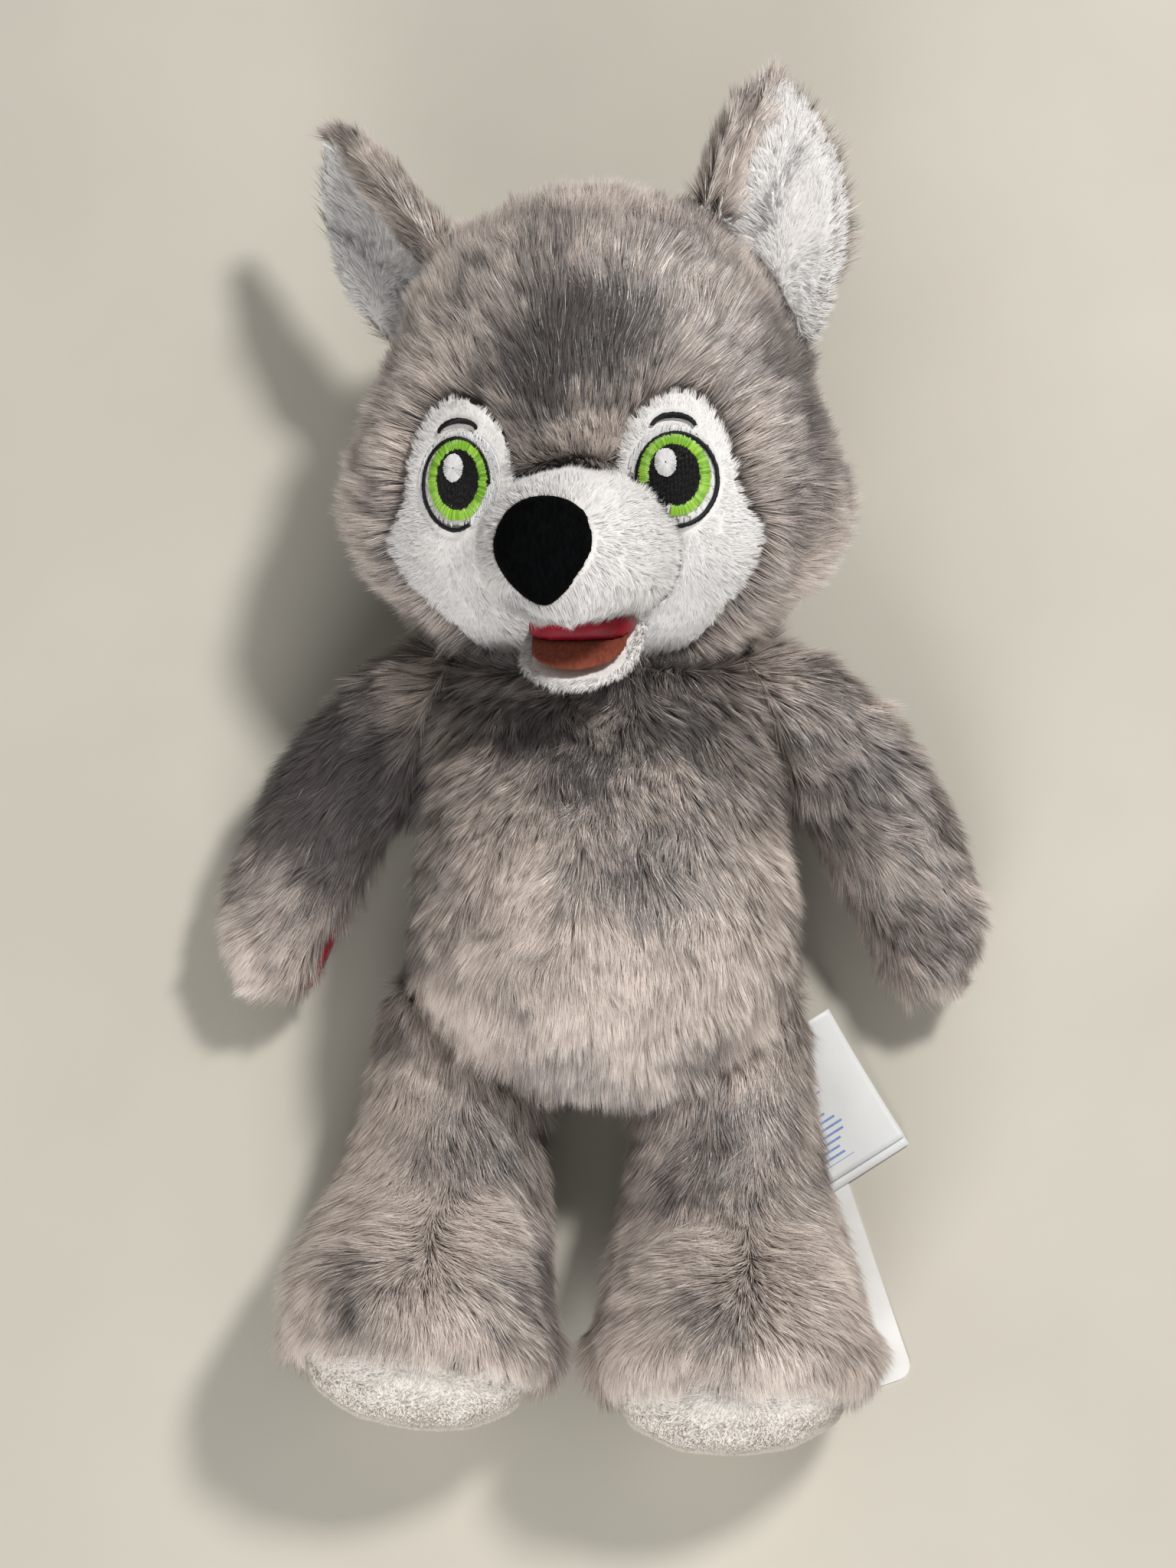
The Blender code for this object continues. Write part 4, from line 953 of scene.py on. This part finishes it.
def build_body(finish):
    def grey_piece(node, flow, seed, tone, *own, length=11.5, lift=25, shrink_by=None, **more):
        cloth = skin(node + "_cloth", node, finish["grey_ground"], shrink_by=shrink_by,
                     against=[other for other in BODY if other != node])
        pile(node + "_pile", cloth, (node, *own), finish["grey_pile"], density=4.6, length=length,
             width=0.29, lift=lift, flow=flow, seed=seed, tone=tone, near=2.4, beneath=False, **more)

    grey_piece("torso", torso_flow, 201, toned(TORSO_SHEEN_AND_SHADE), lift_by=torso_lift)
    for side, side_name in SIDES:
        sole_name = "sole_" + side_name
        grey_piece("arm_" + side_name, arm_flow(side), 300 + side, toned(ARM_SHEEN_AND_SHADE), "paw_pad")
        grey_piece("leg_" + side_name, leg_flow(side), 400 + side, toned(LEG_SHEEN_AND_SHADE, LEG_PAINTED_LIGHT), sole_name,
                   length=10.5, lift=21, shrink_by=leg_end_shrink, lift_by=leg_lift(side), wanted=above_sole,
                   clump=0.3)
        sole = skin("sole_cloth_" + side_name, sole_name, finish["sole_ground"], voxel=2.6, shrink=1.0)
        pile("sole_pile_" + side_name, sole, (sole_name,), finish["sole_pile"], density=3.4, length=3.0,
             width=0.34, lift=15, flow=straight_flow(0, -0.4, 1), seed=800 + side, near=1.5, clump=0.2,
             nap=0.03, relief=0.12)
    tail = skin("tail_cloth", "tail", finish["grey_ground"], shrink=3.0)
    pile("tail_pile", tail, ("tail",), finish["grey_pile"], density=3.0, length=11, width=0.36, lift=22,
         flow=straight_flow(0, 1, 0), seed=900, near=4.0)


# Face details
# A place in front of all of the face, in millimetres
OUT_OF_FACE = 140
# A stitch from side to side: a share of half its width, and of its height
PROFILE = ((-1, -0.15), (-0.6, 0.75), (0, 1.0), (0.6, 0.75), (1, -0.15))
# Along a stitch its height is a half wave, held between these shares of its length and blunted by a power
STITCH_ENDS = (0.04, 0.96)
BLUNT = 0.35
# The corners of a face on the map, from the place that gives the tone
MAP_CORNERS = ((0, 0), (0.02, 0), (0.02, 0.02), (0, 0.02))


def head_point(x, y, tree, lift):
    """Where a line into the face at x, y, in millimetres, meets the solids of a tree."""
    start = HEAD @ (Vector((x, y, OUT_OF_FACE)) * MM)
    down = HEAD_TURN.to_3x3() @ Vector((0, 0, -1))
    hit, normal, _, _ = tree.ray_cast(start, down)
    if hit is None:
        return None
    return hit + normal * (lift * MM)


def stitch_rings(line, width, height, base, tree):
    """The rings of one raised stitch along a line, or nothing where it leaves the face."""
    low, high = STITCH_ENDS
    rings = []
    for k, (x, y) in enumerate(line):
        share = k / (len(line) - 1)
        ahead = Vector(line[min(k + 1, len(line) - 1)]) - Vector(line[max(k - 1, 0)])
        side = Vector((-ahead.y, ahead.x)).normalized() * width / 2
        crown = height * math.sin(math.pi * min(max(share, low), high)) ** BLUNT
        ring = [head_point(x + side.x * shift, y + side.y * shift, tree, base + crown * up)
                for shift, up in PROFILE]
        if None in ring:
            return []
        rings.append(ring)
    return rings


def stitches(kind, side_name, lines, finish):
    """The stitches of one kind at one eye, in place of its node."""
    thread, width, height, base, seed = SEWN[kind]
    tree = node_tree_of("face_patch_" + side_name)
    rng = np.random.default_rng(seed)
    verts = []
    faces = []
    tones = []
    wide = len(PROFILE)
    for line in lines:
        rings = stitch_rings(line, width, height, base, tree)
        if not rings:
            continue
        start = len(verts)
        verts += [tuple(spot) for ring in rings for spot in ring]
        tone = rng.random()
        for k in range(len(rings) - 1):
            for j in range(wide - 1):
                a = start + k * wide + j
                faces.append((a, a + 1, a + 1 + wide, a + wide))
                tones.append(tone)
    name = kind + "_stitches_" + side_name
    mesh = bpy.data.meshes.new(name)
    mesh.from_pydata(verts, [], faces)
    layer = mesh.uv_layers.new(name=BAKE_MAP)
    for face, tone in zip(mesh.polygons, tones):
        for corner, (u, v) in zip(face.loop_indices, MAP_CORNERS):
            layer.data[corner].uv = (0.4 + u, 0.01 + 0.96 * tone + v)
    mesh.shade_smooth()
    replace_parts(link_mesh(name, mesh, finish[thread]), kind + "_" + side_name)


def arc(centre, half_width, half_height, angle):
    """A place on an oval."""
    turn = math.radians(angle)
    return (centre[0] + half_width * math.cos(turn), centre[1] + half_height * math.sin(turn))


def ring_stitches(centre, ring, span, pitch, rng, ragged=0.2, slant=0.0):
    """Short stitches across a ring, from its inner to its outer oval, over a span of degrees."""
    inner, outer = ring
    start, end = span
    mean = (sum(inner) + sum(outer)) / 4
    count = max(4, int(math.radians(abs(end - start)) * mean / pitch))
    lines = []
    for i in range(count):
        angle = start + (end - start) * (i + 0.5) / count
        loose = rng.normal() * ragged
        a = arc(centre, inner[0] + loose * 0.3, inner[1] + loose * 0.3, angle)
        b = arc(centre, outer[0] + loose, outer[1] + loose, angle + slant)
        lines.append([(a[0] + (b[0] - a[0]) * k / 4, a[1] + (b[1] - a[1]) * k / 4) for k in range(5)])
    return lines


# The share of its place in a row that a stitch covers, and how far past an oval the middle of one may be
COVERS = 0.96
PAST_OVAL = 1.02


def fill_stitches(centre, oval, pitch, length, direction, rng):
    """Rows of stitches that fill an oval, each with its ends pulled in to the oval."""
    half_width, half_height = oval
    turn = math.radians(direction)
    along = (math.cos(turn), math.sin(turn))
    over = (-along[1], along[0])
    reach = max(half_width, half_height)
    lines = []
    for i in range(int(2 * reach / pitch)):
        offset = -reach + pitch * (i + 0.5)
        at = -reach + rng.random() * length
        while at < reach:
            (x, y), (end_x, end_y) = ((over[0] * offset + along[0] * s, over[1] * offset + along[1] * s)
                                      for s in (at, at + length * COVERS))
            line = []
            for k in range(4):
                spot = (x + (end_x - x) * k / 3, y + (end_y - y) * k / 3)
                far = max(1.0, math.hypot(spot[0] / half_width, spot[1] / half_height))
                line.append((centre[0] + spot[0] / far, centre[1] + spot[1] / far))
            if math.hypot((x + end_x) / 2 / half_width, (y + end_y) / 2 / half_height) < PAST_OVAL:
                lines.append(line)
            at += length
    return lines


# Each kind of stitch: its thread, width and height, how far over the patch it starts, and a seed
SEWN = {
    "eye_white": ("thread_white", 0.62, 0.35, 0.25, 41),
    "pupil": ("thread_black", 0.56, 0.40, 1.0, 42),
    "iris": ("thread_green", 0.62, 0.62, 0.95, 43),
    "eye_outline": ("thread_black", 0.62, 0.5, 0.85, 44),
    "glint": ("thread_white", 0.5, 0.5, 1.5, 45),
    "brow": ("thread_black", 0.62, 0.5, 0.7, 46),
}
# Half widths and heights of the ovals, in millimetres. A ring has an inner and an outer one
EYE_WHITE = (13.4, 15.2)
PUPIL = (8.2, 9.9)
IRIS = ((7.5, 9.2), (10.6, 12.4))
OUTLINE = ((11.3, 13.2), (12.5, 14.4))
GLINT = ((0.2, 0.3), (3.3, 4.3))
BROW = ((5.8, 2.6), (6.9, 4.5))
# Left and right: how narrow an eye is, how far to the side its glint is, and the degrees of its outline
NARROW = {-1: 0.91, 1: 1.0}
GLINT_X = {-1: -1.1, 1: -2.6}
OUTLINE_SPAN = {-1: (-5, 292), 1: (-112, 185)}
ALL_ROUND = (0, 360)
BROW_SPAN = (172, 8)


def build_eyes(finish):
    for side, side_name in SIDES:
        rng = np.random.default_rng(40 + side)
        x, y = side * EYE[0], EYE[1]
        outline = (x + side * 0.8, y - 1.1)
        glint = (x + GLINT_X[side], y + 3.7)

        def slim(oval, narrow=NARROW[side]):
            return (oval[0] * narrow, oval[1])

        lines = {
            "eye_white": fill_stitches((x, y), EYE_WHITE, 0.55, 4.0, 80, rng),
            "pupil": fill_stitches((x, y), slim(PUPIL), 0.42, 2.4, 62, rng),
            "iris": ring_stitches((x, y), map(slim, IRIS), ALL_ROUND, 0.40, rng),
            "eye_outline": ring_stitches(outline, map(slim, OUTLINE), OUTLINE_SPAN[side], 0.36, rng, 0.06,
                                         3.0),
            "glint": ring_stitches(glint, GLINT, ALL_ROUND, 0.3, rng, 0.08),
            "brow": ring_stitches((x, y + BROW_FOOT), BROW, BROW_SPAN, 0.36, rng, 0.06, 3.0),
        }
        for kind, drawn in lines.items():
            stitches(kind, side_name, drawn, finish)


def build_nose_and_mouth(finish):
    nose = skin("nose_felt_cover", "nose", finish["nose_felt"], voxel=1.1, shrink=0.0)
    pile("nose_fuzz", nose, ("nose",), finish["nose_fuzz"], density=4.0, length=1.3, width=0.16, lift=34,
         flow=straight_flow(0.2, -1, 0), seed=1200, near=1.0, clump=0.0, stray=0.8)
    satin = (satin_finish(), "mouth_satin")
    skin("mouth_satin_cover", "mouth_lining", satin, voxel=1.0, shrink=0.0, smooth=3)
    skin("tongue_cover", "tongue", finish["tongue_felt"], voxel=0.9, shrink=0.0, smooth=2)


# How far the patch on the paw is moved into its pile, in millimetres
PAW_PATCH_SUNK = (-3.2, 0.6, 0.4)


def build_paw_patch(finish):
    patch = skin("paw_patch", "paw_pad", finish["red_felt"], voxel=1.1, shrink=-0.3, smooth=2)
    patch.data.transform(Matrix.Translation(Vector(PAW_PATCH_SUNK) * MM))


# Labels
# Where the ribbons come out from under the leg, how they are turned, and their size, in millimetres
RIBBON_ROOT = (66.6, -76.0, 0)
RIBBON_TURN = math.radians(32)
RIBBON_WIDE = 33.0
RIBBON_LONG = 52.0
# What the upper ribbon is shorter and higher by
RIBBON_SHORTER = 3.0
RIBBON_HIGHER = 0.8
# The height of the lower one's free end, how much higher its root is, and a thickness in metres
RIBBON_LOW = 1.4
RIBBON_RISE = 12.0
RIBBON_THICK = 0.0004
# The squares of a ribbon's mesh
COLUMNS = 16
ROWS = 26


def label(name, node, above, material):
    """A woven ribbon in place of a node, raised at its root and flat at its free end. above is 0 or 1."""
    place = Matrix.Translation(Vector(RIBBON_ROOT)) @ Matrix.Rotation(RIBBON_TURN, 4, "Z")
    length = RIBBON_LONG - RIBBON_SHORTER * above
    low = RIBBON_LOW + above * RIBBON_HIGHER
    bm = bmesh.new()
    grid = []
    for j in range(ROWS + 1):
        share = j / ROWS * length / RIBBON_LONG
        line = []
        for i in range(COLUMNS + 1):
            x = -RIBBON_WIDE / 2 + RIBBON_WIDE * i / COLUMNS
            over = x / RIBBON_WIDE
            lift = RIBBON_RISE * (1 - share) ** 2 + (0.5 - over) * 2.0 * (1 - share)
            ripple = 0.35 * math.sin(i * 0.55 + above) * (1 - share) + 0.5 * above * share * (1 + over)
            line.append(bm.verts.new((place @ Vector((x, -share * RIBBON_LONG, low + lift + ripple))) * MM))
        grid.append(line)
    layer = bm.loops.layers.uv.new(BAKE_MAP)
    for j in range(ROWS):
        for i in range(COLUMNS):
            face = bm.faces.new((grid[j][i], grid[j + 1][i], grid[j + 1][i + 1], grid[j][i + 1]))
            for loop, (u, v) in zip(face.loops, ((i, j), (i, j + 1), (i + 1, j + 1), (i + 1, j))):
                loop[layer].uv = (u / COLUMNS, v / ROWS)
    mesh = bpy.data.meshes.new(name)
    bm.to_mesh(mesh)
    bm.free()
    mesh.shade_smooth()
    made = link_mesh(name, mesh, (material, "label_satin"))
    thick = made.modifiers.new("thick", "SOLIDIFY")
    thick.thickness = RIBBON_THICK
    thick.offset = 0
    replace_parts(made, node)


def build_labels():
    label("care_ribbon_back", "care_label_back", 0, label_finish("label_satin", printed=False))
    label("care_ribbon_front", "care_label_front", 1, label_finish("label_satin_printed", printed=True))
    card = nodes["card_tag"]
    card.data.materials.clear()
    card.data.materials.append(card_finish())


def build_floor():
    mesh = bpy.data.meshes.new("floor")
    corners = [(x * FLOOR_REACH, y * FLOOR_REACH, 0) for x, y in ((-1, -1), (1, -1), (1, 1), (-1, 1))]
    mesh.from_pydata(corners, [], [(0, 1, 2, 3)])
    mesh.materials.append(floor_finish())
    put("floor", mesh)


build_camera()
build_light()
build_floor()
finishes = build_finishes()
build_head(finishes)
build_body(finishes)
build_eyes(finishes)
build_nose_and_mouth(finishes)
build_paw_patch(finishes)
build_labels()
